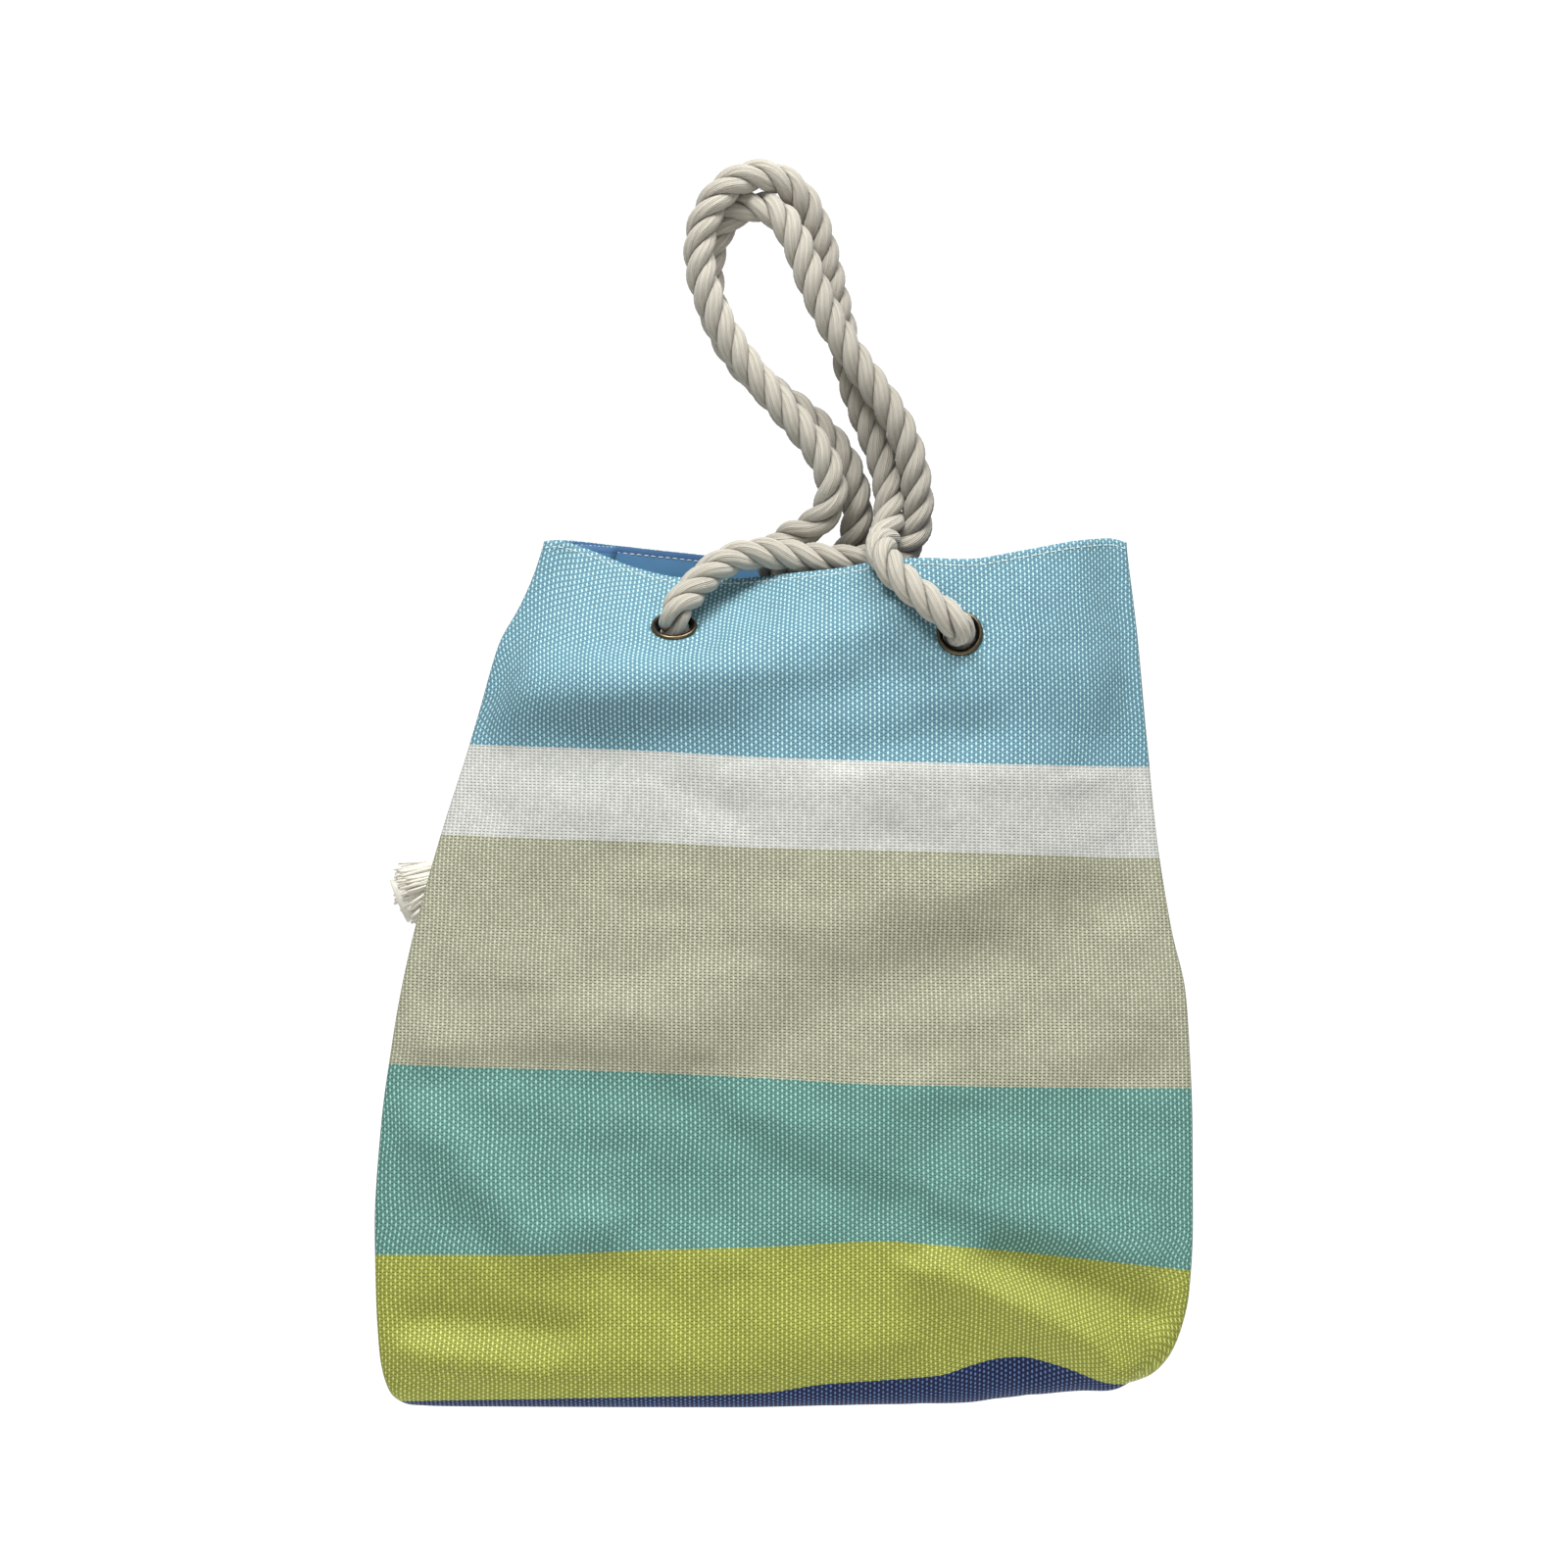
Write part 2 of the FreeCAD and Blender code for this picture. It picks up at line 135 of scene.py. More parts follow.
def dress(tree, shader, colour, height, strength, deep, **looks):  # colour, relief and the other looks
    give(tree, colour, shader.inputs["Base Color"])
    bump = addNode(tree, "ShaderNodeBump", Height=height, Strength=strength, Distance=deep * mm)
    give(tree, bump.outputs[0], shader.inputs["Normal"])
    for name, value in looks.items():
        give(tree, value, shader.inputs[name.replace("_", " ")])


def srgb(red, green, blue):  # a colour as seen on a screen, 0 to 255
    def linear(c):
        c /= 255
        return c / 12.92 if c <= 0.04045 else ((c + 0.055) / 1.055) ** 2.4
    return (linear(red), linear(green), linear(blue), 1.0)


def newMaterial(name):
    material = bpy.data.materials.new(name)
    material.use_nodes = True
    tree = material.node_tree
    return material, tree, tree.nodes["Principled BSDF"]


def uvSocket(tree, name):
    node = tree.nodes.new("ShaderNodeUVMap")
    node.uv_map = name
    split = tree.nodes.new("ShaderNodeSeparateXYZ")
    tree.links.new(node.outputs[0], split.inputs[0])
    return node.outputs[0], split.outputs[0], split.outputs[1]


# Plain weave with long pale warp floats: sizes in millimetres and shares of a pitch.
weave = {
    "warpPitch": 1.96,
    "floatPitch": 2.7,
    "floatWide": 0.25,
    "floatTall": 0.36,
    "square": 2.4,
    "rowHalf": 0.43,
    "gapSoft": 0.15,
}


def weaveGroup():
    tree = bpy.data.node_groups.new("plainWeave", "ShaderNodeTree")
    for way, labels in (("INPUT", ("Across", "Along")), ("OUTPUT", ("Float", "Weft", "Height", "Thread"))):
        for label in labels:
            tree.interface.new_socket(label, in_out=way, socket_type="NodeSocketFloat")
    given, result = tree.nodes.new("NodeGroupInput"), tree.nodes.new("NodeGroupOutput")

    def calc(operation, *values):
        return mathNode(tree, operation, *values)

    across = calc("DIVIDE", given.outputs["Across"], weave["warpPitch"] * mm)
    along = calc("DIVIDE", given.outputs["Along"], weave["floatPitch"] * mm)
    column = calc("FLOOR", across)
    shifted = calc("ADD", along, calc("FRACT", calc("MULTIPLY", column, 0.5)))
    wide = calc("DIVIDE", calc("SUBTRACT", calc("FRACT", across), 0.5), weave["floatWide"])
    tall = calc("DIVIDE", calc("SUBTRACT", calc("FRACT", shifted), 0.5), weave["floatTall"])
    away = calc("ADD", *(calc("POWER", calc("ABSOLUTE", side), weave["square"]) for side in (wide, tall)))
    row = calc("FRACT", calc("MULTIPLY_ADD", along, 2.0, 0.5))
    rowAway = calc("ABSOLUTE", calc("SUBTRACT", row, 0.5))
    inside = calc("SUBTRACT", 1.25, away)
    # painted shade: where the weft rows part, the ground takes the darker gap colour
    weft = stepMask(tree, calc("SUBTRACT", weave["rowHalf"], rowAway), 0.0, weave["gapSoft"])
    floatTop = calc("POWER", calc("MAXIMUM", calc("SUBTRACT", 1.2, away), 0.0), 0.5)
    cell = tree.nodes.new("ShaderNodeCombineXYZ")
    give(tree, column, cell.inputs[0])
    give(tree, calc("FLOOR", shifted), cell.inputs[1])
    cellTone = tree.nodes.new("ShaderNodeTexWhiteNoise")
    cellTone.noise_dimensions = "2D"
    give(tree, cell.outputs[0], cellTone.inputs["Vector"])
    # the pale colour is kept to each float's middle: the warp's own pale colour with a painted highlight
    give(tree, stepMask(tree, inside, 0.2, 1.1), result.inputs["Float"])
    give(tree, calc("MAXIMUM", weft, stepMask(tree, inside, 0.0, 0.5)), result.inputs["Weft"])
    give(tree, calc("MAXIMUM", floatTop, calc("SUBTRACT", 0.5, rowAway)), result.inputs["Height"])
    give(tree, cellTone.outputs["Value"], result.inputs["Thread"])
    return tree


plainWeave = weaveGroup()

# Stripes of the outer cloth from the rim down: flat width, weft colour, the gap colour (painted shade
# between the weft rows) and the float colour (the warp's own pale colour, with a painted highlight at each
# float's middle).
stripes = [
    {"name": "sky", "wide": 102.0, "weft": (96, 137, 152), "gap": (60, 96, 110), "float": (178, 212, 214)},
    {"name": "white", "wide": 40.5, "weft": (192, 193, 187), "gap": (117, 120, 116),
     "float": (201, 202, 197)},
    {"name": "sand", "wide": 104.0, "weft": (160, 160, 138), "gap": (72, 72, 56), "float": (193, 192, 168)},
    {"name": "sea", "wide": 79.0, "weft": (88, 132, 122), "gap": (49, 87, 80), "float": (153, 201, 192)},
    {"name": "lime", "wide": 68.0, "weft": (143, 148, 62), "gap": (92, 97, 27), "float": (198, 204, 114)},
    {"name": "navy", "wide": 66.5, "weft": (2, 19, 66), "gap": (1, 6, 32), "float": (88, 118, 162)},
]


def stripeSteps(tree, along):  # a mask for each border, one below it
    place, steps = 0.0, []
    for stripe in stripes[:-1]:
        place += stripe["wide"]
        steps.append(mathNode(tree, "GREATER_THAN", along, place * mm))
    return steps


def stripeColour(tree, steps, key):
    colour = srgb(*stripes[0][key])
    for step, stripe in zip(steps, stripes[1:]):
        colour = mixColour(tree, step, colour, srgb(*stripe[key]))
    return colour


def clothMaterial(name, only=None):
    material, tree, shader = newMaterial(name)
    flat, across, along = uvSocket(tree, "cloth")
    woven = tree.nodes.new("ShaderNodeGroup")
    woven.node_tree = plainWeave
    give(tree, across, woven.inputs["Across"])
    give(tree, along, woven.inputs["Along"])
    if only is None:
        row = weave["floatPitch"] * mm / 2
        steps = stripeSteps(tree, mathNode(tree, "ADD", mathNode(tree, "SNAP", along, row), row / 2))
        weft, gap, paleAndHighlight = (stripeColour(tree, steps, key) for key in ("weft", "gap", "float"))
    else:
        stripe = next(s for s in stripes if s["name"] == only)
        weft, gap, paleAndHighlight = (srgb(*stripe[key]) for key in ("weft", "gap", "float"))
    # painted shade: the ground is the weft colour on the rows and the darker gap colour between them
    ground = mixColour(tree, woven.outputs["Weft"], gap, weft)
    # pale floats: the warp's own pale colour, with a painted highlight at each float's middle
    colour = mixColour(tree, woven.outputs["Float"], ground, paleAndHighlight)
    shade = scaled(tree, noiseFac(tree, flat, 14.0, 3.0, 0.6), 0.16, 0.92)
    both = times(tree, shade, scaled(tree, woven.outputs["Thread"], 0.14, 0.93))
    tone = addNode(tree, "ShaderNodeCombineColor", Red=both, Green=both, Blue=both)
    colour = mixColour(tree, 1.0, colour, tone.outputs[0], "MULTIPLY")
    height = scaled(tree, noiseFac(tree, flat, 2600.0, 2.0), 0.12, woven.outputs["Height"])
    rough = scaled(tree, woven.outputs["Float"], -0.22, 0.72)
    dress(tree, shader, colour, height, 0.7, 0.3, Roughness=rough, Specular_IOR_Level=0.3, Sheen_Weight=0.02)
    return material


stripedCloth = clothMaterial("striped_cloth")
navyCloth = clothMaterial("navy_cloth", "navy")


def liningMaterial():
    material, tree, shader = newMaterial("lining_cloth")
    flat, across, along = uvSocket(tree, "cloth")
    # painted shade: the lining's top 3.4 mm, between the rim and the topstitch, is a darker blue band
    rimShadeBand = stepMask(tree, minus(tree, 3.4 * mm, along), -0.3 * mm, 0.3 * mm)
    base = mixColour(tree, noiseFac(tree, flat, 22.0, 4.0), srgb(60, 114, 158), srgb(74, 130, 170))
    colour = mixColour(tree, rimShadeBand, base, srgb(34, 84, 130))
    threads = 2 * math.pi / (0.42 * mm)
    warp, weft = (mathNode(tree, "SINE", times(tree, way, threads)) for way in (across, along))
    height = scaled(tree, noiseFac(tree, flat, 60.0, 3.0), 6.0, times(tree, warp, weft))
    dress(tree, shader, colour, height, 0.5, 0.08, Roughness=0.55, Sheen_Weight=0.15)
    return material


liningCloth = liningMaterial()


# The rope: thickness, length of one turn of its strands, yarns in a strand, and how the mesh is cut.
rope = {
    "diameter": 14.4,
    "lay": 36.0,
    "yarns": 8,
    "fineYarns": 26,
    "sides": 24,
    "step": 1.7,
    "ripple": 0.055,
    "oval": (0.97, 1.05),
    "knotSqueeze": 0.86,
    "throat": 0.93,
}
strandRadius = 0.243 * rope["diameter"]
strandOut = 0.279 * rope["diameter"]
layAngle = math.atan2(2 * math.pi * strandOut, rope["lay"])
rope["yarnTurn"] = math.tan(layAngle) / (strandRadius * mm * 2 * math.pi)  # turns per metre


def ropeMaterial():
    material, tree, shader = newMaterial("rope_cotton")
    along, around = uvSocket(tree, "lay")[1:]
    turn = scaled(tree, along, rope["yarnTurn"], around)
    fine = mathNode(tree, "SINE", times(tree, turn, 2 * math.pi * rope["fineYarns"]))
    coarse = mathNode(tree, "SINE", times(tree, turn, 2 * math.pi * rope["yarns"]))
    stretched = addNode(tree, "ShaderNodeCombineXYZ", X=times(tree, along, 60.0), Y=times(tree, turn, 30.0))
    fibre = noiseFac(tree, stretched.outputs[0], 1.0, 5.0, 0.65)
    where = tree.nodes.new("ShaderNodeTexCoord").outputs["Object"]
    # random tone, with a slight painted shade between the yarns from the coarse yarn pattern
    mask = scaled(tree, coarse, 0.13, times(tree, fibre, 0.5))
    mask = mathNode(tree, "MULTIPLY_ADD", noiseFac(tree, where, 28.0, 3.0), 0.5, mask, clamp=True)
    colour = mixColour(tree, mask, srgb(152, 146, 132), srgb(208, 203, 189))
    # painted shade: the rope on the right and towards the back, by object position, is darkened to a grey
    # brown
    split = addNode(tree, "ShaderNodeSeparateXYZ", Vector=where)
    right = stepMask(tree, split.outputs[0], 0.005, 0.05)
    high = stepMask(tree, split.outputs[1], -0.022, -0.008)
    colour = mixColour(tree, times(tree, times(tree, right, high), 0.45), colour, srgb(120, 114, 102))
    # painted shade in the grooves between strands: each strand is darkened on its sides and its inner face,
    # away from the rope's outside
    facing = mathNode(tree, "COSINE", times(tree, around, 2 * math.pi))
    grooveShade = stepMask(tree, minus(tree, 0.35, facing), 0.0, 0.75)
    colour = mixColour(tree, grooveShade, colour, srgb(92, 85, 72))
    height = scaled(tree, fine, 0.35, scaled(tree, coarse, 0.6, times(tree, fibre, 2.4)))
    dress(tree, shader, colour, height, 1.0, 0.3, Roughness=0.85, Specular_IOR_Level=0.2, Sheen_Weight=0.3,
          Sheen_Roughness=0.6)
    return material


def fringeMaterial():
    material, tree, shader = newMaterial("rope_fringe")
    along, around = uvSocket(tree, "lay")[1:]
    where = tree.nodes.new("ShaderNodeTexCoord").outputs["Object"]
    colour = mixColour(tree, noiseFac(tree, where, 140.0, 3.0), srgb(220, 214, 198), srgb(250, 248, 240))
    plies = mathNode(tree, "SINE", scaled(tree, along, 5200.0, times(tree, around, 4 * math.pi)))
    dress(tree, shader, colour, plies, 0.3, 0.06, Roughness=0.9, Specular_IOR_Level=0.1)
    return material


brightRope = ropeMaterial()
paleRope = fringeMaterial()


def brassMaterial():
    material, tree, shader = newMaterial("antique_brass")
    across = uvSocket(tree, "ring")[2]
    where = tree.nodes.new("ShaderNodeTexCoord").outputs["Object"]
    grime = noiseFac(tree, where, 420.0, 6.0, 0.7)
    fromCrest = mathNode(tree, "ABSOLUTE", minus(tree, across, 0.52))
    crest = stepMask(tree, minus(tree, 0.16, fromCrest), -0.06, 0.16)
    worn = stepMask(tree, scaled(tree, crest, 0.55, times(tree, grime, 0.7)), 0.42, 0.86)
    colour = mixColour(tree, worn, srgb(34, 30, 25), srgb(106, 95, 74))
    dress(tree, shader, colour, grime, 0.35, 0.05, Metallic=1.0, Roughness=scaled(tree, worn, -0.16, 0.44))
    return material


antiqueBrass = brassMaterial()


def threadMaterial():
    material, tree, shader = newMaterial("white_thread")
    where = tree.nodes.new("ShaderNodeTexCoord").outputs["Object"]
    ply = addNode(tree, "ShaderNodeTexWave", Scale=900.0, Distortion=1.5, Vector=where).outputs["Fac"]
    colour = mixColour(tree, ply, srgb(206, 214, 212), srgb(244, 246, 242))
    dress(tree, shader, colour, ply, 0.4, 0.05, Roughness=0.6)
    return material


whiteThread = threadMaterial()
print("materials ready")


def washerPlace(node):  # a washer is a flat ring, so its middle and its thin direction place the eyelet
    points = np.array([v.co for v in frame["nodes"][node].data.vertices])
    middle = (points.max(0) + points.min(0)) / 2
    facing = np.linalg.svd(points - middle, full_matrices=False)[2][2]
    if facing[1] * (-1 if node.startswith("front") else 1) < 0:
        facing = -facing
    return middle, facing


cloth = {"outer": 1.2, "gap": 0.3, "lining": 0.6, "washer": 0.6}
eyeletPlaces = {}
for face in ("front", "back"):
    for hand in ("left", "right"):
        middle, facing = washerPlace(face + "_" + hand + "_washer")
        layers = (cloth["outer"] + cloth["gap"] + cloth["lining"]) * abs(facing[1]) + cloth["washer"] / 2
        eyeletPlaces[face, hand] = (middle + facing * layers * mm, facing)
joints = {joint["name"]: joint for joint in frame["joints"]}
knotPlaces = {hand: np.array(joints[hand + "_tail_swing"]["pos_m"]) for hand in ("left", "right")}
for key, (middle, facing) in eyeletPlaces.items():
    print("eyelet", key, [round(x / mm, 2) for x in middle], [round(x, 3) for x in facing])


def smoothLine(points):  # points along a NURBS line with these control points, in metres
    curve = bpy.data.curves.new("route", "CURVE")
    curve.dimensions = "3D"
    curve.resolution_u = 12
    spline = curve.splines.new("NURBS")
    spline.points.add(len(points) - 1)
    for target, point in zip(spline.points, points):
        target.co = (*point, 1.0)
    spline.order_u = 3
    spline.use_endpoint_u = True
    carrier = bpy.data.objects.new("route", curve)
    bpy.context.scene.collection.objects.link(carrier)
    bpy.context.view_layer.update()
    mesh = bpy.data.meshes.new_from_object(carrier.evaluated_get(bpy.context.evaluated_depsgraph_get()))
    line = np.array([v.co for v in mesh.vertices])
    bpy.data.objects.remove(carrier)
    bpy.data.meshes.remove(mesh)
    return line


def evenly(line, step):
    lengths = np.concatenate([[0], np.cumsum(np.linalg.norm(np.diff(line, axis=0), axis=1))])
    count = max(4, int(round(lengths[-1] / step)) + 1)
    at = np.linspace(0, lengths[-1], count)
    return np.stack([np.interp(at, lengths, line[:, k]) for k in range(3)], axis=1), at


def unit(vectors):
    return vectors / np.maximum(np.linalg.norm(vectors, axis=-1, keepdims=True), 1e-12)


def framesAlong(line):  # directions that turn as little as possible along a line
    ahead = unit(np.gradient(line, axis=0))
    side = np.zeros_like(line)
    first = np.cross(ahead[0], (0.3, 0.2, 0.93))
    side[0] = first / np.linalg.norm(first)
    for k in range(1, len(line)):
        moved = side[k - 1] - ahead[k] * np.dot(side[k - 1], ahead[k])
        side[k] = moved / np.linalg.norm(moved)
    return ahead, side, np.cross(ahead, side)


# The handle's own points, from the left eyelet twice round the loop to the right one.
handleRoute = [
    (-27.5, -29.0, -163.5), (-18.5, -21.0, -153.5), (-8.5, -16.0, -147.5), (3.0, -14.0, -145.4),
    (15.0, -13.0, -146.4), (29.0, -12.5, -148.2), (43.0, -12.0, -149.2), (57.0, -10.0, -148.5),
    (68.5, -7.5, -145.0), (74.0, -6.0, -136.0), (75.3, -6.0, -123.0), (73.3, -7.0, -107.5),
    (68.6, -8.0, -92.0), (61.5, -8.5, -79.0), (52.0, -9.0, -66.0), (42.0, -9.3, -52.0),
    (33.5, -9.3, -37.5), (26.0, -8.3, -21.0), (20.0, -6.5, -3.5), (12.0, -3.0, 9.5),
    (0.5, 1.5, 14.2), (-11.0, 6.0, 10.0), (-18.8, 9.0, -2.5), (-21.0, 10.5, -18.5),
    (-18.5, 10.8, -34.0), (-12.3, 10.5, -48.0), (-3.0, 10.0, -61.0), (9.5, 9.3, -71.5),
    (23.0, 8.3, -81.0), (34.5, 6.5, -91.5), (43.0, 5.0, -104.5), (47.3, 4.0, -119.0),
    (47.6, 4.5, -133.5), (43.0, 7.5, -146.5), (33.0, 9.5, -155.0), (20.0, 10.0, -158.0),
    (11.0, 8.5, -154.5), (7.5, 5.5, -147.5), (11.0, 1.5, -141.0), (20.0, -3.0, -136.5),
    (29.5, -6.5, -132.0), (35.5, -8.5, -123.0), (36.0, -9.0, -111.5), (29.8, -8.5, -98.5),
    (19.5, -7.8, -86.0), (8.0, -7.2, -73.0), (-3.5, -7.0, -59.5), (-13.0, -7.0, -45.0),
    (-20.8, -7.0, -29.0), (-24.8, -6.7, -13.0), (-23.5, -7.2, 4.0), (-14.5, -6.4, 20.0),
    (0.0, -3.5, 27.5), (14.0, -0.5, 25.0), (24.5, 4.0, 14.5), (30.5, 7.0, -1.0),
    (34.5, 8.2, -18.0), (38.5, 8.2, -34.5), (42.0, 7.8, -51.0), (45.5, 6.8, -67.0),
    (51.0, 5.0, -82.5), (57.3, 2.5, -97.5), (61.5, -1.0, -112.0), (62.3, -6.0, -126.0),
    (60.5, -14.0, -136.5), (57.8, -24.5, -142.0), (57.5, -35.0, -145.5), (60.0, -43.5, -151.5),
    (66.8, -49.0, -159.5), (78.5, -53.5, -169.0),
]
inner = {"exit": 1.9, "pivot": 9.5, "straight": 17.0, "sag": 15.0}


def innerRoute(hand):  # from just outside a front eyelet, through the bag and out at the back
    front, frontFacing = eyeletPlaces["front", hand]
    back, backFacing = eyeletPlaces["back", hand]
    middle = (front + back) / 2
    middle[2] = front[2] - inner["sag"] * mm
    return [front + frontFacing * inner["exit"] * mm, front - frontFacing * inner["straight"] * mm, middle,
            back - backFacing * inner["straight"] * mm, back + backFacing * inner["exit"] * mm]


def pivotOf(hand):
    front, facing = eyeletPlaces["front", hand]
    return front + facing * inner["pivot"] * mm


wholeRoute = innerRoute("left")[::-1] + [pivotOf("left")]
wholeRoute += [np.array(point) * mm for point in handleRoute]
wholeRoute += [pivotOf("right")] + innerRoute("right")
wholeLine, wholeAt = evenly(smoothLine(wholeRoute), rope["step"] * mm)
print("whole rope between the knots: %.3f m" % wholeAt[-1])


# The first point of each tail is inside its knot, the others are the tail's own, from the knot's middle.
tailSteps = {
    "left": [(-4.0, 1.0, -7.0), (-11.0, 0.4, -15.2), (-23.0, 2.0, -31.0), (-40.0, 7.0, -56.0),
             (-63.0, 12.0, -83.0), (-95.0, 16.0, -110.5)],
    "right": [(1.0, 1.0, -8.0), (1.8, 0.4, -18.8), (4.0, 2.0, -42.0), (6.5, 7.0, -70.0),
              (6.0, 11.5, -98.0), (3.0, 15.0, -124.0)],
}


def newObject(name, bm, material):
    mesh = bpy.data.meshes.new(name)
    bm.to_mesh(mesh)
    bm.free()
    mesh.polygons.foreach_set("use_smooth", [True] * len(mesh.polygons))
    mesh.materials.append(material)
    made = bpy.data.objects.new(name, mesh)
    bpy.context.scene.collection.objects.link(made)
    return made


def gridInto(bm, points, uvs, layer, closeAround=False):  # a grid of rows and columns moved onto points
    rows, columns = points.shape[:2]
    made = bmesh.ops.create_grid(bm, x_segments=columns - 1, y_segments=rows - 1, size=1.0)["verts"]
    spots = {}
    for vert in made:
        i = int(round((vert.co.x + 1) / 2 * (columns - 1)))
        j = int(round((vert.co.y + 1) / 2 * (rows - 1)))
        spots[vert] = (j, i)
    for face in {face for vert in made for face in vert.link_faces}:
        for loop in face.loops:
            loop[layer].uv = uvs[spots[loop.vert]]
    for vert, spot in spots.items():
        vert.co = points[spot]
    if closeAround:
        bmesh.ops.remove_doubles(bm, verts=made, dist=1e-7)
    return spots


def closeEnds(bm, before):  # fills the open ends of what was added last
    rims = [edge for edge in bm.edges if edge not in before and edge.is_boundary]
    bmesh.ops.holes_fill(bm, edges=rims, sides=0)


def strandInto(bm, line, at, phase, layer, tight, first, last):
    side, up = framesAlong(line)[1:]
    angle = (2 * math.pi * at / (rope["lay"] * mm) + phase)[:, None]
    out = np.cos(angle) * side + np.sin(angle) * up
    centre = line + out * strandOut * mm * tight
    along = unit(np.gradient(centre, axis=0))
    out = unit(out - along * np.sum(out * along, axis=1, keepdims=True))
    across = np.cross(along, out)
    theta = np.linspace(0, 2 * math.pi, rope["sides"] + 1)
    turn = theta[None, :] + (rope["yarnTurn"] * 2 * math.pi) * at[:, None]
    ring = 1 + rope["ripple"] * (np.abs(np.cos(rope["yarns"] * turn / 2)) - 0.6)
    ring = strandRadius * mm * tight * ring
    deep, wide = rope["oval"]
    points = (centre[:, None, :] + (ring * np.cos(theta))[..., None] * out[:, None, :] * deep
              + (ring * np.sin(theta))[..., None] * across[:, None, :] * wide)
    points[:, -1] = points[:, 0]
    uvs = np.stack(np.broadcast_arrays(at[:, None], theta[None, :] / (2 * math.pi)), axis=-1)
    before = set(bm.edges)
    gridInto(bm, points[first:last + 1], uvs[first:last + 1], layer, closeAround=True)
    if first == 0 and last == len(line) - 1:
        closeEnds(bm, before)
    elif first == 0 or last == len(line) - 1:  # the other end runs on in another piece
        end = line[0 if first == 0 else -1]
        joined = [edge for edge in bm.edges if edge.is_boundary
                  and np.linalg.norm(np.array(edge.verts[0].co) - end) > rope["diameter"] * mm]
        closeEnds(bm, before | set(joined))


def ropeObject(name, line, at, tight=1.0, first=0, last=None):  # all of a line, or a stretch of it
    bm = bmesh.new()
    layer = bm.loops.layers.uv.new("lay")
    last = len(line) - 1 if last is None else last
    for k in range(3):
        strandInto(bm, line, at, k * 2 * math.pi / 3, layer, np.reshape(tight, (-1, 1)), first, last)
    bmesh.ops.recalc_face_normals(bm, faces=bm.faces)
    return newObject(name, bm, brightRope)


def nearest(line, point):
    return int(np.argmin(np.linalg.norm(line - np.array(point), axis=1)))


# The rope is one line with one lay. It is cut a little past each pivot, where its loose part begins.
cutPast = 18.0
leftCut = nearest(wholeLine, pivotOf("left")) + int(cutPast / rope["step"])
rightCut = nearest(wholeLine, pivotOf("right")) - int(cutPast / rope["step"])
throats = np.ones(len(wholeLine))
for centre, facing in eyeletPlaces.values():
    near = np.abs(wholeAt - wholeAt[nearest(wholeLine, centre)])
    throats = np.minimum(throats, rope["throat"] + (1 - rope["throat"]) * smoothStep(near, 4 * mm, 9 * mm))
handle = ropeObject("rope_handle_strands", wholeLine, wholeAt, throats, leftCut, rightCut)
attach(handle, "handle")
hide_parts("rope_handle")
innerLeft = ropeObject("rope_inner_left_strands", wholeLine, wholeAt, throats, 0, leftCut)
innerRight = ropeObject("rope_inner_right_strands", wholeLine, wholeAt, throats, rightCut)
for piece, hand in ((innerLeft, "left"), (innerRight, "right")):
    front, facing = eyeletPlaces["front", hand]
    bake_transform(piece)
    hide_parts("rope_inner_" + hand)


knot = {"ring": 10.6, "rise": 4.4, "turns": 26}


def knotLine(hand):  # an overhand knot pulled tight, entered from the bag and left at the tail
    centre = knotPlaces[hand]
    t = np.linspace(0.25, 2 * math.pi - 0.25, knot["turns"])
    lean = math.radians(205 if hand == "left" else 170)
    x = (np.sin(t) + 2 * np.sin(2 * t)) / 2.8 * knot["ring"]
    z = (np.cos(t) - 2 * np.cos(2 * t)) / 2.8 * knot["ring"]
    y = np.sin(3 * t) * knot["rise"]
    acrossTurned = x * math.cos(lean) - z * math.sin(lean)
    upTurned = x * math.sin(lean) + z * math.cos(lean)
    points = [centre + p * mm for p in np.stack([acrossTurned, y, upTurned], 1)]
    start = [centre + np.array((0, -13.0, 0)) * mm, centre + np.array((0, -8.0, 0)) * mm]
    return smoothLine(start + points)


for hand in ("left", "right"):
    line, at = evenly(knotLine(hand), rope["step"] * mm)
    piece = ropeObject(hand + "_stopper_knot", line, at, rope["knotSqueeze"])
    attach(piece, "bag")
    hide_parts(hand + "_knot")

tassel = {"yarns": 240, "sides": 4, "long": 45.0, "spread": 17.5, "flat": 0.5, "yarn": 0.95, "steps": 9,
          "core": 0.7, "bend": 1.4, "left": (-0.91, 0.05, -0.38)}


def coreInto(bm, layer, start, ahead, side, up):  # the bundle's inside, which shows between the yarns
    share = np.linspace(0, 0.86, 8)[:, None, None]
    theta = np.linspace(0, 2 * math.pi, 19)[None, :, None]
    thin, thick = rope["diameter"] * 0.36, tassel["spread"] * tassel["core"]
    wide = (thin + (thick - thin) * share ** tassel["bend"]) * mm
    deep = (thin + (thick * tassel["flat"] - thin) * share ** tassel["bend"]) * mm
    core = np.array(start) + np.array(ahead) * share * tassel["long"] * mm
    core = core + np.array(side) * np.cos(theta) * wide + np.array(up) * np.sin(theta) * deep
    core[:, -1] = core[:, 0]
    uvs = np.stack(np.broadcast_arrays(share[:, :, 0] * 0.05, theta[:, :, 0] / (2 * math.pi)), axis=-1)
    gridInto(bm, core, uvs, layer, closeAround=True)
    closeEnds(bm, set())


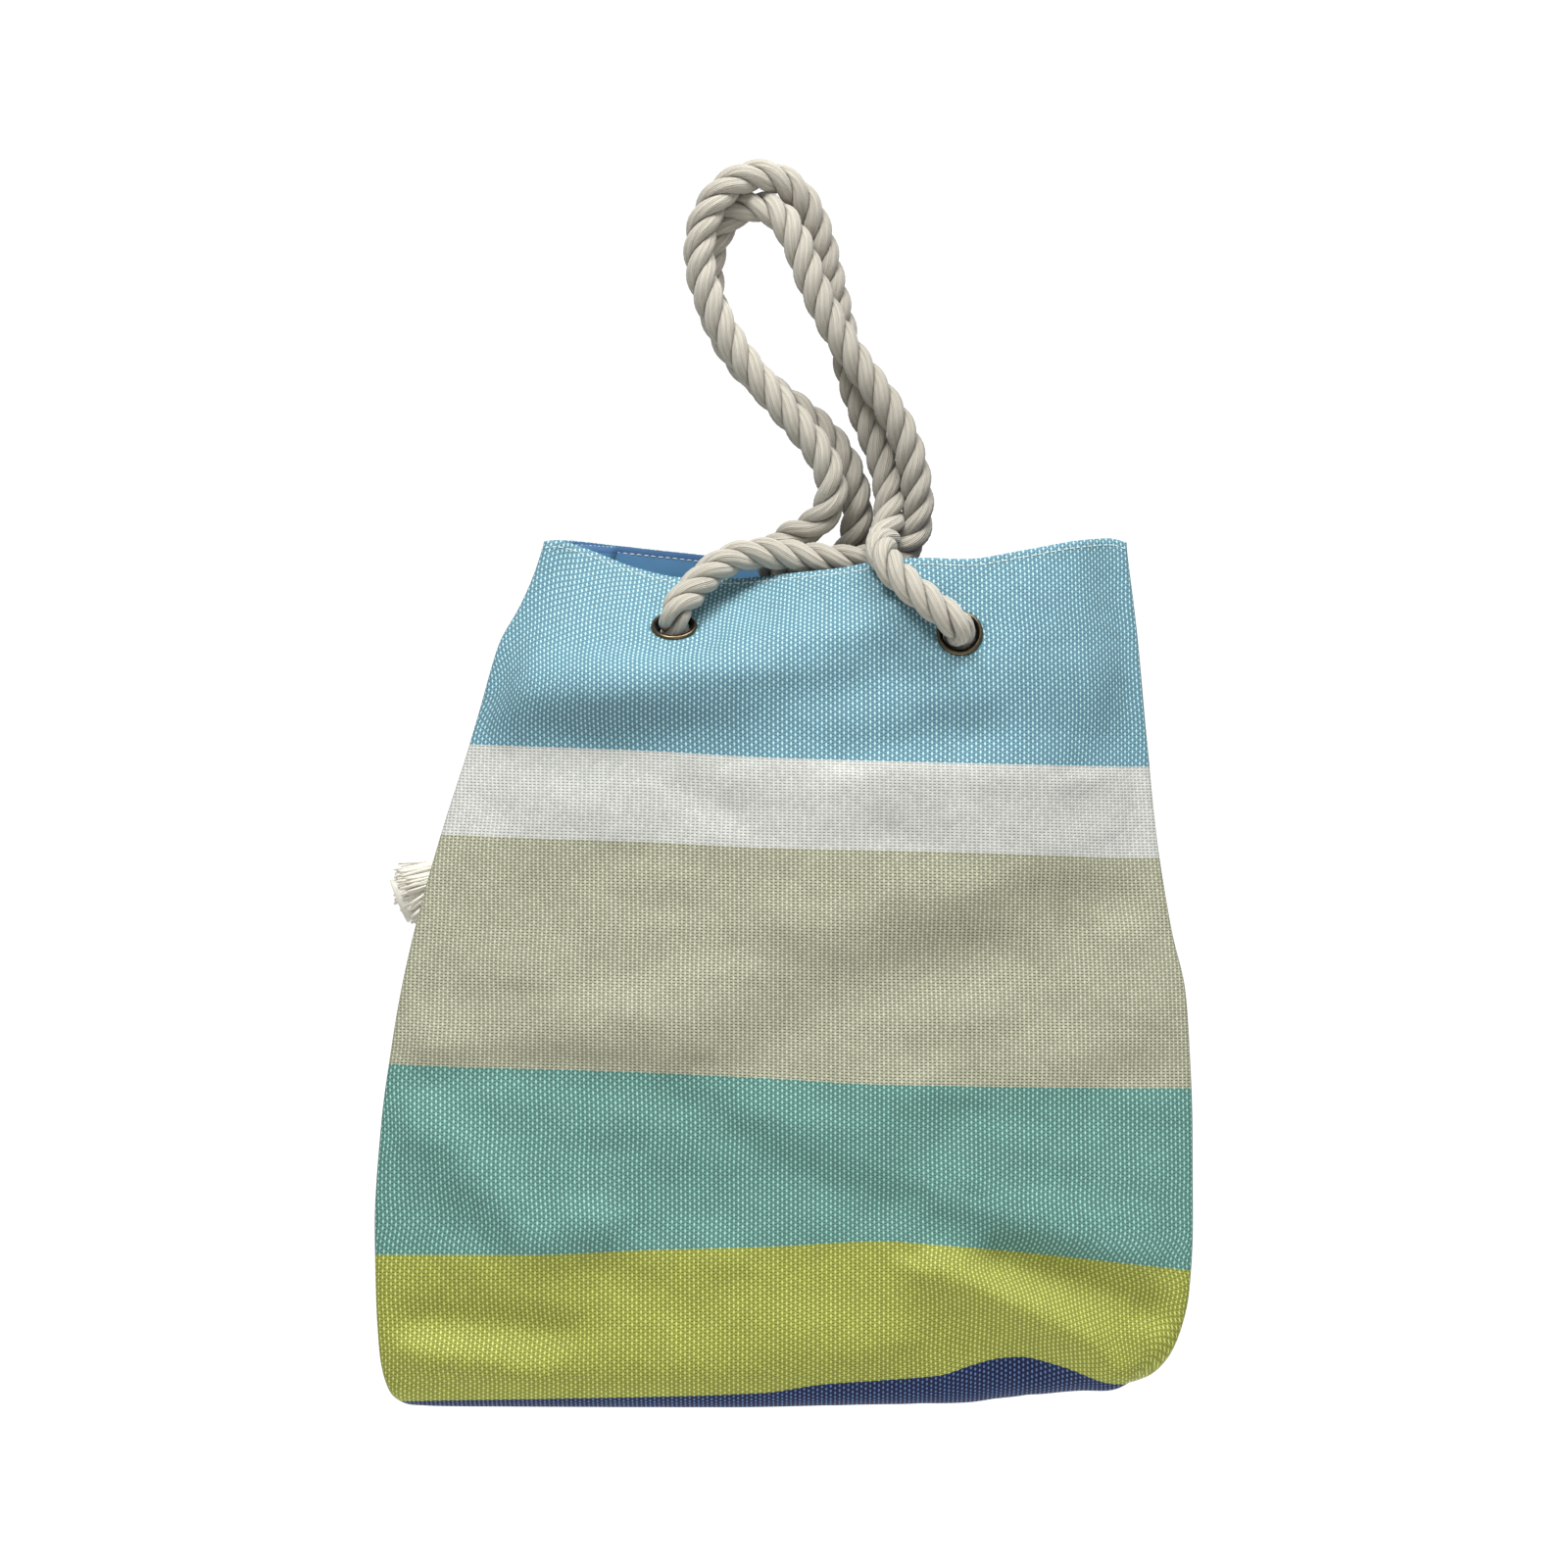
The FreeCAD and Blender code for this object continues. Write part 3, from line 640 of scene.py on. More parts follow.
def tasselObject(name, start, ahead, seed):
    draw = random.Random(seed)
    bm = bmesh.new()
    layer = bm.loops.layers.uv.new("lay")
    ahead = Vector(ahead).normalized()
    side = ahead.cross(Vector((0, 1, 0))).normalized()
    up = side.cross(ahead)
    coreInto(bm, layer, start, ahead, side, up)
    for k in range(tassel["yarns"]):
        turn = draw.uniform(0, 2 * math.pi)
        share = math.sqrt(draw.uniform(0, 1))
        near = share * rope["diameter"] / 2 * 0.9
        far = share * tassel["spread"] * draw.uniform(0.8, 1.12)
        long = tassel["long"] * draw.uniform(0.88, 1.0) * (1 - 0.17 * share)
        curl = draw.uniform(-0.5, 0.5)
        sag = draw.uniform(0.5, 2.0) * share
        points = []
        for i in range(tassel["steps"]):
            t = i / (tassel["steps"] - 1)
            out = near + (far - near) * t ** tassel["bend"] + math.sin(t * 5 + k) * 0.35 * t
            deep = near + (far * tassel["flat"] - near) * t ** tassel["bend"]
            here = turn + curl * t
            spot = Vector(start) + ahead * (t * long - 3) * mm
            spot += (side * math.cos(here) * out + up * math.sin(here) * deep) * mm
            spot.z -= sag * t * t * mm
            points.append(spot)
        line = np.array(points)
        first, second = framesAlong(line)[1:]
        theta = np.linspace(0, 2 * math.pi, tassel["sides"] + 1)
        thick = tassel["yarn"] * mm * draw.uniform(0.7, 1.15) * np.linspace(1.0, 0.8, len(line))
        ring = np.cos(theta)[None, :, None] * first[:, None] + np.sin(theta)[None, :, None] * second[:, None]
        ring = line[:, None] + ring * thick[:, None, None]
        ring[:, -1] = ring[:, 0]
        uvs = np.stack(np.broadcast_arrays(np.linspace(0, long * mm, len(line))[:, None] + k * 0.01,
                                           theta[None, :] / (2 * math.pi)), axis=-1)
        before = set(bm.edges)
        gridInto(bm, ring, uvs, layer, closeAround=True)
        closeEnds(bm, before)
    bmesh.ops.recalc_face_normals(bm, faces=bm.faces)
    return newObject(name, bm, paleRope)


for hand in ("left", "right"):
    route = [knotPlaces[hand] + np.array(step) * mm for step in tailSteps[hand]]
    line, at = evenly(smoothLine(route), rope["step"] * mm)
    tail = ropeObject(hand + "_tail_strands", line, at)
    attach(tail, hand + "_tail")
    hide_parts(hand + "_rope_tail")
    hangs = tassel["left"] if hand == "left" else line[-1] - line[-4]
    fringe = tasselObject(hand + "_tassel_yarns", line[-1], hangs, 11 if hand == "left" else 23)
    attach(fringe, hand + "_tail")
    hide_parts(hand + "_tassel")
    print(hand, "tail %.3f m" % at[-1])


# The bag's walls: a lofted shell, from section rows that follow each other down the bag.
# Each row: height, left edge, right edge, how far the left and the right side fold in at the seam, then
# the front's and the back's depth at the left eyelet, at the right eyelet and at the side fold.
sectionRows = [
    (-141, -93.8, 168.0, 32.0, 45.0, 8.0, 36.0, 10.0, 30.0, 30.0, 10.0),
    (-155, -98.3, 169.6, 32.0, 44.5, 18.4, 39.8, 12.5, 30.0, 30.0, 12.5),
    (-170, -104.8, 171.5, 31.5, 44.0, 29.6, 43.9, 15.0, 30.0, 30.0, 15.0),
    (-186, -113.8, 173.3, 31.0, 43.5, 41.6, 48.2, 17.5, 30.0, 30.0, 17.5),
    (-200, -118.2, 174.6, 30.0, 42.0, 52.0, 52.0, 20.0, 30.0, 30.0, 20.0),
    (-214, -122.0, 175.8, 28.5, 40.0, 54.0, 54.0, 21.5, 32.0, 32.0, 21.0),
    (-235, -128.2, 177.8, 26.0, 37.0, 52.5, 54.0, 24.0, 36.0, 36.0, 23.0),
    (-272, -140.0, 181.5, 21.0, 31.0, 53.0, 54.0, 28.0, 41.0, 41.0, 26.0),
    (-316, -152.2, 188.5, 15.5, 23.5, 54.0, 55.0, 32.5, 44.5, 44.0, 30.0),
    (-342, -158.0, 194.5, 12.5, 19.5, 55.0, 55.5, 35.5, 46.0, 45.0, 32.0),
    (-360, -161.2, 196.0, 10.5, 16.0, 55.5, 56.0, 37.5, 47.0, 46.0, 33.5),
    (-404, -167.2, 197.8, 6.5, 9.5, 57.0, 56.5, 42.0, 48.5, 47.5, 37.0),
    (-448, -170.0, 198.0, 3.5, 5.0, 58.0, 57.0, 46.0, 49.5, 48.5, 40.0),
    (-484, -169.4, 196.4, 1.5, 2.5, 58.0, 56.5, 48.0, 49.5, 48.5, 42.0),
    (-505, -168.0, 192.5, 0.5, 1.0, 57.0, 55.0, 48.0, 48.5, 47.0, 42.0),
    (-518, -165.5, 186.8, 0.0, 0.0, 54.5, 52.0, 46.0, 46.5, 44.5, 40.5),
    (-527, -161.0, 177.5, 0.0, 0.0, 49.5, 46.0, 41.0, 42.0, 39.5, 36.5),
    (-530, -153.0, 165.0, 0.0, 0.0, 40.0, 37.0, 33.0, 35.0, 33.0, 30.0),
    (-529.6, -143.0, 153.0, 0.0, 0.0, 30.0, 28.0, 24.0, 27.0, 25.0, 22.0),
]
view = {"aim": (0.0141, -0.028, -0.25), "away": 2.2, "wide": 0.704}


def shrunk(y):  # how much smaller a plane nearer than the aim has to be drawn to look as large
    return 1 + (y - view["aim"][1] / mm) / (view["away"] / mm)


wall = {
    "seam": 2.0,
    "rim": -141.0,
    "sagEnd": -206.0,
    "foldRound": 6.0,
    "crown": 3.0,
    "cells": {"front": (200, 176), "back": (150, 140)},
    "thick": 1.2,
    "hole": 8.9,
    "middle": 28.0,
    "besideHole": 18,
    "pastHole": 16,
}
rimHeights = {
    "front": [(-97, -141.6), (-88, -140.6), (-74, -144.6), (-52, -153.0), (-32, -157.2), (-10, -157.6),
              (14, -156.2), (40, -152.9), (60, -149.0), (78, -148.4), (95, -148.9), (122, -144.9),
              (148, -140.4), (160, -139.6), (168, -141.6)],
    "back": [(-97, -141.6), (-88, -140.4), (-60, -143.2), (-36, -145.8), (0, -149.5), (40, -152.0),
             (80, -152.5), (110, -150.5), (140, -146.0), (160, -142.2), (168, -141.6)],
}
# Where the underside rises towards the right end.
underRise = [(-160, 1.8), (-140, 0.5), (-10, 0.0), (43, 1.2), (95, 3.0), (122, 5.4), (148, 8.4),
             (163, 10.5), (200, 12.0)]


def rowValues(rows, count):  # the section rows, evenly spaced along the wall's middle
    table = np.array(rows, float)
    middle = np.stack([table[:, 0], (table[:, 1] + table[:, 2]) / 2], 1)
    middle[:4, 1] = middle[4, 1] - (middle[4, 0] - middle[:4, 0]) * -0.2
    along = np.concatenate([[0], np.cumsum(np.linalg.norm(np.diff(middle, axis=0), axis=1))])
    at = np.linspace(0, along[-1], count)
    return np.stack([through(at, list(zip(along, table[:, k]))) for k in range(table.shape[1])], 1)


def runs(grid, axis):  # how far along the cloth each point lies, down it or across it
    steps = np.linalg.norm(np.diff(grid, axis=axis), axis=2)
    return np.insert(np.cumsum(steps, axis=axis), 0, 0, axis=axis)


def resampled(row, count):  # the same run of points, spread over another count
    share = np.linspace(0, 1, count)
    return np.stack([np.interp(share, np.linspace(0, 1, len(row)), row[:, k]) for k in range(3)], 1)


def halfOutline(height, edge, foldIn, fold, deep, hole, inward):  # from the seam to past an eyelet
    turn, gusset = wall["foldRound"], 0.5 * fold
    beside = hole - inward * wall["besideHole"]
    return [
        (edge + inward * foldIn, 0.0),
        (edge + inward * foldIn * 0.45, gusset),
        (edge + inward * 0.8, max(fold - turn, gusset + 1)),
        (edge, fold),
        (edge + inward * turn, fold + turn * 0.42),
        (edge * 0.62 + beside * 0.38, fold + (deep - fold) * 0.55),
        (beside, deep - smoothStep(-height, 200, 240)),
        (hole + inward * wall["pastHole"], deep),
    ]


def wallPoints(face, rowCount, columnCount):
    toward = -1.0 if face == "front" else 1.0
    deep = 5 if face == "front" else 8  # where this face's depths begin in a row
    table = [(row[0], *row[deep:deep + 2], *row[1:3], row[deep + 2], *row[3:5]) for row in sectionRows]
    leftHole, rightHole = (eyeletPlaces[face, hand][0][0] / mm for hand in ("left", "right"))
    grid = np.zeros((rowCount, columnCount, 3))
    for j, row in enumerate(rowValues(table, rowCount)):
        height, deepLeft, deepRight, left, right, fold, inLeft, inRight = row
        halfway = (deepLeft + deepRight) / 2 + wall["crown"] * smoothStep(-height, 200, 260)
        outline = halfOutline(height, left, inLeft, fold, deepLeft, leftHole, 1)
        outline += [((leftHole + rightHole) / 2, halfway)]
        outline += halfOutline(height, right, inRight, fold, deepRight, rightHole, -1)[::-1]
        spots = np.array(outline)
        pitch = np.linalg.norm(np.diff(spots, axis=0), axis=1) ** 0.75  # closer columns round the two folds
        knots = np.concatenate([[0], np.cumsum(pitch)])
        at = np.linspace(0, knots[-1], columnCount)
        grid[j, :, 0] = through(at, list(zip(knots, spots[:, 0])))
        grid[j, :, 1] = wall["seam"] + toward * through(at, list(zip(knots, spots[:, 1])))
        grid[j, :, 2] = height
    # depths are counted from the loop's plane on the face and from the seam at the folds
    share = smoothStep(np.abs(grid[:, :, 1] - wall["seam"]), 10, 30)
    grid[:, :, 1] -= wall["seam"] * share
    rimAt = through(grid[0, :, 0], rimHeights[face])
    tips = {"left": int(np.argmin(grid[0, :, 0])), "right": int(np.argmax(grid[0, :, 0]))}
    sides = {"left": slice(0, tips["left"] + 1), "right": slice(tips["right"], columnCount)}
    for hand, folded in sides.items():
        tip, end = grid[0, tips[hand], 0], grid[0, 0 if hand == "left" else -1, 0]
        lower = 1.8 if hand == "left" else 6.5
        rimAt[folded] = -141.6 - lower * (grid[0, folded, 0] - tip) / (end - tip)
    drop = np.array([wall["rim"] - rimAt])
    weight = np.clip((grid[:, :, 2] - wall["sagEnd"]) / (wall["rim"] - wall["sagEnd"]), 0, 1)
    grid[:, :, 2] -= drop * weight
    low = smoothStep(-grid[:, :, 2], 440, 531)
    grid[:, :, 2] += through(grid[:, :, 0].ravel(), underRise).reshape(low.shape) * low
    smaller = shrunk(grid[:, :, 1])
    for k in (0, 2):
        aim = view["aim"][k] / mm
        grid[:, :, k] = aim + (grid[:, :, k] - aim) * smaller
    return grid


def asSeen(grid):  # across and height of the cloth where the camera sees it
    smaller = shrunk(grid[:, :, 1])
    return tuple(view["aim"][k] / mm + (grid[:, :, k] - view["aim"][k] / mm) / smaller for k in (0, 2))


def eased(grid, times=2):  # evens out small kinks, but leaves the edges where they are
    for _ in range(times):
        around = (grid[:-2, 1:-1] + grid[2:, 1:-1] + grid[1:-1, :-2] + grid[1:-1, 2:]) / 4
        grid = grid.copy()
        grid[1:-1, 1:-1] = (grid[1:-1, 1:-1] + around) / 2
    return grid


def gridNormals(grid):
    return unit(np.cross(np.gradient(grid, axis=1), np.gradient(grid, axis=0)))


# Soft folds of the front: a line of (across, height) points, how far it stands out, and how far it
# reaches above and below the line.
frontFolds = [
    {"line": [(-112, -216), (-70, -209), (-35, -201), (10, -190), (50, -180), (72, -176)],
     "out": 5.2, "above": 15, "below": 12},
    {"line": [(-100, -233), (-30, -228), (30, -214), (64, -200)], "out": -4.2, "above": 13, "below": 18},
    {"line": [(40, -238), (70, -231), (104, -226)], "out": -2.0, "above": 10, "below": 10},
    {"line": [(58, -246), (95, -252), (128, -248)], "out": 3.6, "above": 14, "below": 20},
    {"line": [(-24, -256), (-8, -259)], "out": -2.2, "above": 12, "below": 10},
    {"line": [(150, -262), (170, -300)], "out": -2.4, "above": 14, "below": 14},
    {"line": [(0, -330), (60, -308), (130, -284)], "out": 3.6, "above": 26, "below": 22},
    {"line": [(14, -360), (70, -340), (140, -320)], "out": -3.2, "above": 22, "below": 18},
    {"line": [(-84, -345), (-20, -358), (40, -378), (78, -388)], "out": 2.6, "above": 24, "below": 14},
    {"line": [(-154, -367), (-90, -364), (-38, -371)], "out": 3.0, "above": 18, "below": 10},
    {"line": [(-38, -371), (-4, -392), (28, -410), (84, -428)], "out": 2.2, "above": 20, "below": 12},
    {"line": [(-30, -394), (20, -424), (60, -440)], "out": -1.6, "above": 9, "below": 13},
    {"line": [(86, -436), (130, -447), (176, -462)], "out": 3.0, "above": 16, "below": 8},
    {"line": [(112, -462), (140, -471), (166, -481), (194, -494)], "out": -6.4, "above": 9, "below": 9},
    {"line": [(-158, -402), (-132, -414), (-116, -436), (-100, -455), (-70, -450)], "out": 5.6, "above": 14,
     "below": 12},
    {"line": [(-60, -438), (-20, -430), (20, -442)], "out": -1.6, "above": 14, "below": 14},
    {"line": [(82, -468), (106, -477), (128, -487), (152, -500), (170, -516)], "out": 9.6, "above": 8,
     "below": 13},
    {"line": [(-160, -491), (-120, -492), (-84, -496)], "out": -3.8, "above": 9, "below": 8},
    {"line": [(-165, -504), (-132, -508), (-98, -514)], "out": 4.6, "above": 8, "below": 10},
    {"line": [(-64, -514), (0, -509), (54, -504)], "out": 3.2, "above": 24, "below": 10},
]
backFolds = [
    {"line": [(-118, -228), (-40, -232), (40, -236), (140, -232)], "out": 5.1, "above": 14, "below": 18},
    {"line": [(-60, -250), (30, -262), (110, -252)], "out": -2.4, "above": 14, "below": 18},
    {"line": [(-140, -350), (-60, -372), (20, -360)], "out": 4.8, "above": 22, "below": 14},
    {"line": [(10, -330), (90, -352), (176, -334)], "out": 4.5, "above": 24, "below": 15},
    {"line": [(-150, -440), (-70, -424), (30, -446), (120, -430), (186, -452)], "out": 5.8, "above": 20,
     "below": 14},
    {"line": [(-130, -468), (-40, -462), (60, -474), (150, -466)], "out": -2.6, "above": 14, "below": 16},
    {"line": [(-166, -500), (-120, -490), (-70, -506)], "out": 6.4, "above": 14, "below": 14},
    {"line": [(70, -512), (130, -494), (176, -508)], "out": 6.4, "above": 14, "below": 14},
]


def foldHeight(x, z, fold):  # how far a fold lifts the cloth at each place
    line = np.array(fold["line"], float)
    far = np.full(x.shape, 1e9)
    side = np.zeros(x.shape)
    for a, b in zip(line[:-1], line[1:]):
        run = b - a
        t = np.clip(((x - a[0]) * run[0] + (z - a[1]) * run[1]) / (run @ run), 0, 1)
        dx, dz = x - a[0] - t * run[0], z - a[1] - t * run[1]
        d = np.hypot(dx, dz)
        closer = d < far
        far = np.where(closer, d, far)
        side = np.where(closer, run[0] * dz - run[1] * dx, side)
    reach = np.where(side * np.sign(line[-1][0] - line[0][0]) >= 0, fold["above"], fold["below"])
    return fold["out"] * np.exp(-(far / reach) ** 2)


def ripples(x, z, seed, sizes):  # slow waves of the cloth, as sums of noise
    lift = np.zeros(x.shape)
    flatX, flatZ = x.ravel(), z.ravel()
    for scale, high in sizes:
        values = [noise.noise(Vector((a / scale[0], b / scale[1], seed))) for a, b in zip(flatX, flatZ)]
        lift += np.array(values).reshape(x.shape) * high
    return lift


eyeletSeats = dict(eyeletPlaces)  # the cloth round the front left eyelet leans back further than the rope
eyeletSeats["front", "left"] = (eyeletPlaces["front", "left"][0], np.array((0.0, -0.602, 0.7985)))


def reliefOn(face, grid):
    x, z = asSeen(grid)
    lift = sum(foldHeight(x, z, fold) for fold in (frontFolds if face == "front" else backFolds))
    lift = lift + ripples(x, z, 3.1 if face == "front" else 8.7,
                          [((46, 26), 2.2), ((20, 14), 0.7), ((9, 60), 0.4)])
    inward = np.minimum(x - x.min(axis=1, keepdims=True), x.max(axis=1, keepdims=True) - x)
    outside = np.abs(grid[:, :, 1] - wall["seam"]) > 9
    onFace = smoothStep(inward, 1, 20) * outside * (1 - smoothStep(-z, 525, 530.5))
    for side in (np.s_[:, :1], np.s_[:, -1:]):
        onFace = onFace * smoothStep(np.linalg.norm(grid - grid[side], axis=2), 10, 40)
    near = np.ones(x.shape)
    for hand in ("left", "right"):
        away = np.linalg.norm(grid - eyeletSeats[face, hand][0] / mm, axis=2)
        near = near * smoothStep(away, 13, 30)
    rim = smoothStep(-z, 141, 175)
    lift = lift * onFace * near * (0.35 + 0.65 * rim)
    return grid + gridNormals(grid) * lift[:, :, None] * outward(grid, face)


def outward(grid, face):  # plus or minus one, so that normals point away from the bag
    middle = gridNormals(grid)[grid.shape[0] // 2, grid.shape[1] // 2]
    return 1.0 if middle[1] * (-1 if face == "front" else 1) > 0 else -1.0


def seatEyelets(face, grid):  # flattens the cloth under each eyelet
    for hand in ("left", "right"):
        centre, facing = eyeletSeats[face, hand]
        offset = (grid - centre / mm) @ facing
        flatAway = np.linalg.norm(grid - centre / mm - offset[:, :, None] * facing, axis=2)
        weight = (1 - smoothStep(flatAway, 11.5, 26)) * (np.abs(offset) < 16)
        grid = grid - facing * (offset * weight)[:, :, None]
    return grid


# Heights of the stripes' borders across the front, and straight ones for the back.
stripeBorders = [
    [(-127, -231.6), (-100, -232.6), (-48, -234.5), (5, -237.5), (84, -239.8), (164, -241.6)],
    [(-140, -272), (-100, -273.7), (-48, -275.4), (5, -278), (84, -279.8), (164, -282.5)],
    [(-165, -375), (-127, -376.6), (-74, -378), (5, -381.5), (58, -384.5), (111, -385.4), (164, -386)],
    [(-168, -461.5), (-100, -461.6), (-47, -459.4), (5, -458), (58, -455.4), (84, -457.2), (111, -459.4),
     (137, -462), (164, -465), (197, -468.6)],
    [(-158, -527.4), (-30, -525.2), (5, -523.8), (32, -520.0), (58, -518.2), (84, -516.0), (98, -511.5),
     (111, -508.2), (120, -507.6), (137, -511.4), (164, -519.8), (176, -519.0), (198, -522)],
]
backBorders = [[(-130, -227), (176, -242)], [(-142, -272), (180, -283)], [(-164, -375), (196, -386)],
               [(-170, -461.5), (198, -468)], [(-160, -528.2), (20, -528.5), (170, -521)]]


def clothUvs(face, grid):  # flat places on the cloth in metres: across from the middle, down from the rim
    down, sideways = runs(grid, 0), runs(grid, 1)
    middle = grid.shape[1] // 2
    sideways = sideways - sideways[:, middle:middle + 1] + (grid[:, middle:middle + 1, 0] - wall["middle"])
    edges = np.cumsum([s["wide"] for s in stripes])[:-1]
    v = np.zeros_like(down)
    seenX, seenZ = asSeen(grid)
    for i in range(grid.shape[1]):
        z = seenZ[:, i]
        marks = []
        for border in (stripeBorders if face == "front" else backBorders):
            heights = through(seenX[:, i], border)
            crossed = np.nonzero(z < heights)[0]
            k = crossed[0] if len(crossed) else len(z) - 1
            k = max(k, 1)
            above, below = z[k - 1] - heights[k - 1], z[k] - heights[k]
            share = above / (above - below) if above != below else 0.0
            marks.append(down[k - 1, i] + share * (down[k, i] - down[k - 1, i]))
        marks = np.maximum.accumulate(np.array(marks) + np.arange(5) * 1e-4)
        column = np.interp(down[:, i], marks, edges)
        column = np.where(down[:, i] < marks[0], edges[0] - (marks[0] - down[:, i]), column)
        column = np.where(down[:, i] > marks[-1], edges[-1] + (down[:, i] - marks[-1]), column)
        v[:, i] = column
    return np.stack([sideways, v], axis=-1) * mm


def cutHoles(bm, face, radius):  # opens the cloth for the eyelets' barrels
    for hand in ("left", "right"):
        centre, facing = (Vector(v) for v in eyeletSeats[face, hand])
        inside = []
        for f in bm.faces:
            offset = f.calc_center_median() - centre
            if offset.length < radius * mm * 1.05 and abs(offset.dot(facing)) < 6 * mm:
                inside.append(f)
        bmesh.ops.delete(bm, geom=inside, context="FACES")
        for vert in bm.verts:
            offset = vert.co - centre
            flatOffset = offset - facing * offset.dot(facing)
            close = flatOffset.length < (radius + 5) * mm and abs(offset.dot(facing)) < 6 * mm
            if vert.is_boundary and close:
                vert.co = centre + facing * offset.dot(facing) + flatOffset.normalized() * radius * mm


def clothObject(name, face, grid, uvs, material, thick):
    bm = bmesh.new()
    layer = bm.loops.layers.uv.new("cloth")
    gridInto(bm, grid * mm, uvs, layer)
    cutHoles(bm, face, wall["hole"])
    toward, deep = (-1, -0.05) if face == "front" else (1, 0.045)
    near = Vector((wall["middle"] * mm, deep, -0.35))
    middle = min(bm.faces, key=lambda f: (f.calc_center_median() - near).length)
    middle.normal_update()
    if middle.normal.y * toward < 0:
        bmesh.ops.reverse_faces(bm, faces=bm.faces)
    made = newObject(name, bm, material)
    shell = made.modifiers.new("thickness", "SOLIDIFY")
    shell.thickness = thick * mm
    shell.offset = -1.0
    shell.use_rim = True
    return made


outerGrids = {}
outerUvs = {}
for face in ("front", "back"):
    rowCount, columnCount = wall["cells"][face]
    grid = wallPoints(face, rowCount, columnCount)
    grid = seatEyelets(face, eased(reliefOn(face, eased(grid, 4))))
    outerGrids[face] = grid
    outerUvs[face] = clothUvs(face, grid)
    widest, longest = runs(grid, 1).max() * mm, runs(grid, 0).max() * mm
    print(face, "wall: widest %.3f m, longest %.3f m" % (widest, longest))
    panel = clothObject(face + "_cloth", face, grid, outerUvs[face], stripedCloth, wall["thick"])
    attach(panel, "bag")
    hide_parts(face + "_panel")

lining = {"inset": 1.7, "thick": 0.5, "rimGap": 0.4, "narrower": 0.986}
for face in ("front", "back"):
    every = 2 if face == "front" else 1
    grid = outerGrids[face][::every, ::every]
    uvs = outerUvs[face][::every, ::every].copy()
    uvs[:, :, 1] = runs(grid, 0) * mm
    grid = grid - gridNormals(grid) * outward(grid, face) * lining["inset"]
    grid[0, :, 2] -= lining["rimGap"]
    grid[:, :, 0] = wall["middle"] + (grid[:, :, 0] - wall["middle"]) * lining["narrower"]
    liner = clothObject(face + "_lining_cloth", face, grid, uvs, liningCloth, lining["thick"])
    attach(liner, "bag")
    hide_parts(face + "_lining")


def floorGrid(lift, grow):  # spans the two walls' lowest rows
    front, back = outerGrids["front"][-1], outerGrids["back"][-1]
    other = resampled(back, len(front))
    belly = np.sin(math.pi * np.linspace(0, 1, len(front)))
    rows = []
    for t in np.linspace(-grow, 1 + grow, 34):
        row = front + (other - front) * t
        row[:, 2] -= lift + math.sin(math.pi * np.clip(t, 0, 1)) * belly
        rows.append(row)
    return np.array(rows)


bases = [
    {"name": "base_cloth", "node": "base_panel", "cloth": navyCloth, "lift": -2.0, "grow": 0.1,
     "thick": wall["thick"], "slot": "cloth"},
    {"name": "base_lining_cloth", "node": "base_lining", "cloth": liningCloth, "lift": -3.8, "grow": 0.0,
     "thick": lining["thick"], "slot": "lining"},
]
for entry in bases:
    grid = floorGrid(entry["lift"], entry["grow"])
    bm = bmesh.new()
    gridInto(bm, grid * mm, (grid[:, :, :2] + 200) * mm, bm.loops.layers.uv.new("cloth"))
    bmesh.ops.recalc_face_normals(bm, faces=bm.faces)
    if sum(f.normal.z for f in bm.faces) > 0:
        bmesh.ops.reverse_faces(bm, faces=bm.faces)
    base = newObject(entry["name"], bm, entry["cloth"])
    shell = base.modifiers.new("thickness", "SOLIDIFY")
    shell.thickness = entry["thick"] * mm
    shell.offset = -1.0
    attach(base, "bag")
    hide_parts(entry["node"])
print("cloth ready")


# Eyelets and washers, spun from their sections: radius and height.
eyeletSection = [(7.5, -3.0), (7.5, -0.7), (7.62, 0.1), (7.95, 0.75), (8.45, 1.2), (9.0, 1.46),
                 (9.55, 1.44), (10.05, 1.12), (10.4, 0.6), (10.46, 0.1), (10.2, -0.06), (9.4, -0.02),
                 (8.3, -0.05), (8.0, -0.6), (8.0, -3.0), (7.75, -3.15)]
washerSection = [(8.02, 0.0), (8.02, 0.5), (8.5, 0.62), (10.2, 0.5), (10.75, 0.22), (10.8, 0.0),
                 (9.6, -0.05)]


def spunRing(name, section, centre, facing, segments=72):
    bm = bmesh.new()
    verts = [bm.verts.new((r * mm, 0, h * mm)) for r, h in section]
    edges = [bm.edges.new((a, b)) for a, b in zip(verts, verts[1:] + verts[:1])]
    bmesh.ops.spin(bm, geom=verts + edges, axis=(0, 0, 1), cent=(0, 0, 0), angle=2 * math.pi,
                   steps=segments, use_merge=True)
    bmesh.ops.remove_doubles(bm, verts=bm.verts, dist=1e-7)
    bmesh.ops.recalc_face_normals(bm, faces=bm.faces)
    layer = bm.loops.layers.uv.new("ring")
    lengths = [0.0]
    for a, b in zip(section[:-1], section[1:]):
        lengths.append(lengths[-1] + math.dist(a, b))
    whereOn = {(round(r, 3), round(h, 3)): l / lengths[-1] for (r, h), l in zip(section, lengths)}
    for f in bm.faces:
        for loop in f.loops:
            co = loop.vert.co / mm
            key = (round(math.hypot(co.x, co.y), 3), round(co.z, 3))
            across = min(whereOn.items(), key=lambda item: math.dist(item[0], key))[1]
            loop[layer].uv = (math.atan2(co.y, co.x) / (2 * math.pi) + 0.5, across)
    turn = Vector((0, 0, 1)).rotation_difference(Vector(facing)).to_matrix().to_4x4()
    bm.transform(Matrix.Translation(Vector(centre)) @ turn)
    return newObject(name, bm, antiqueBrass)


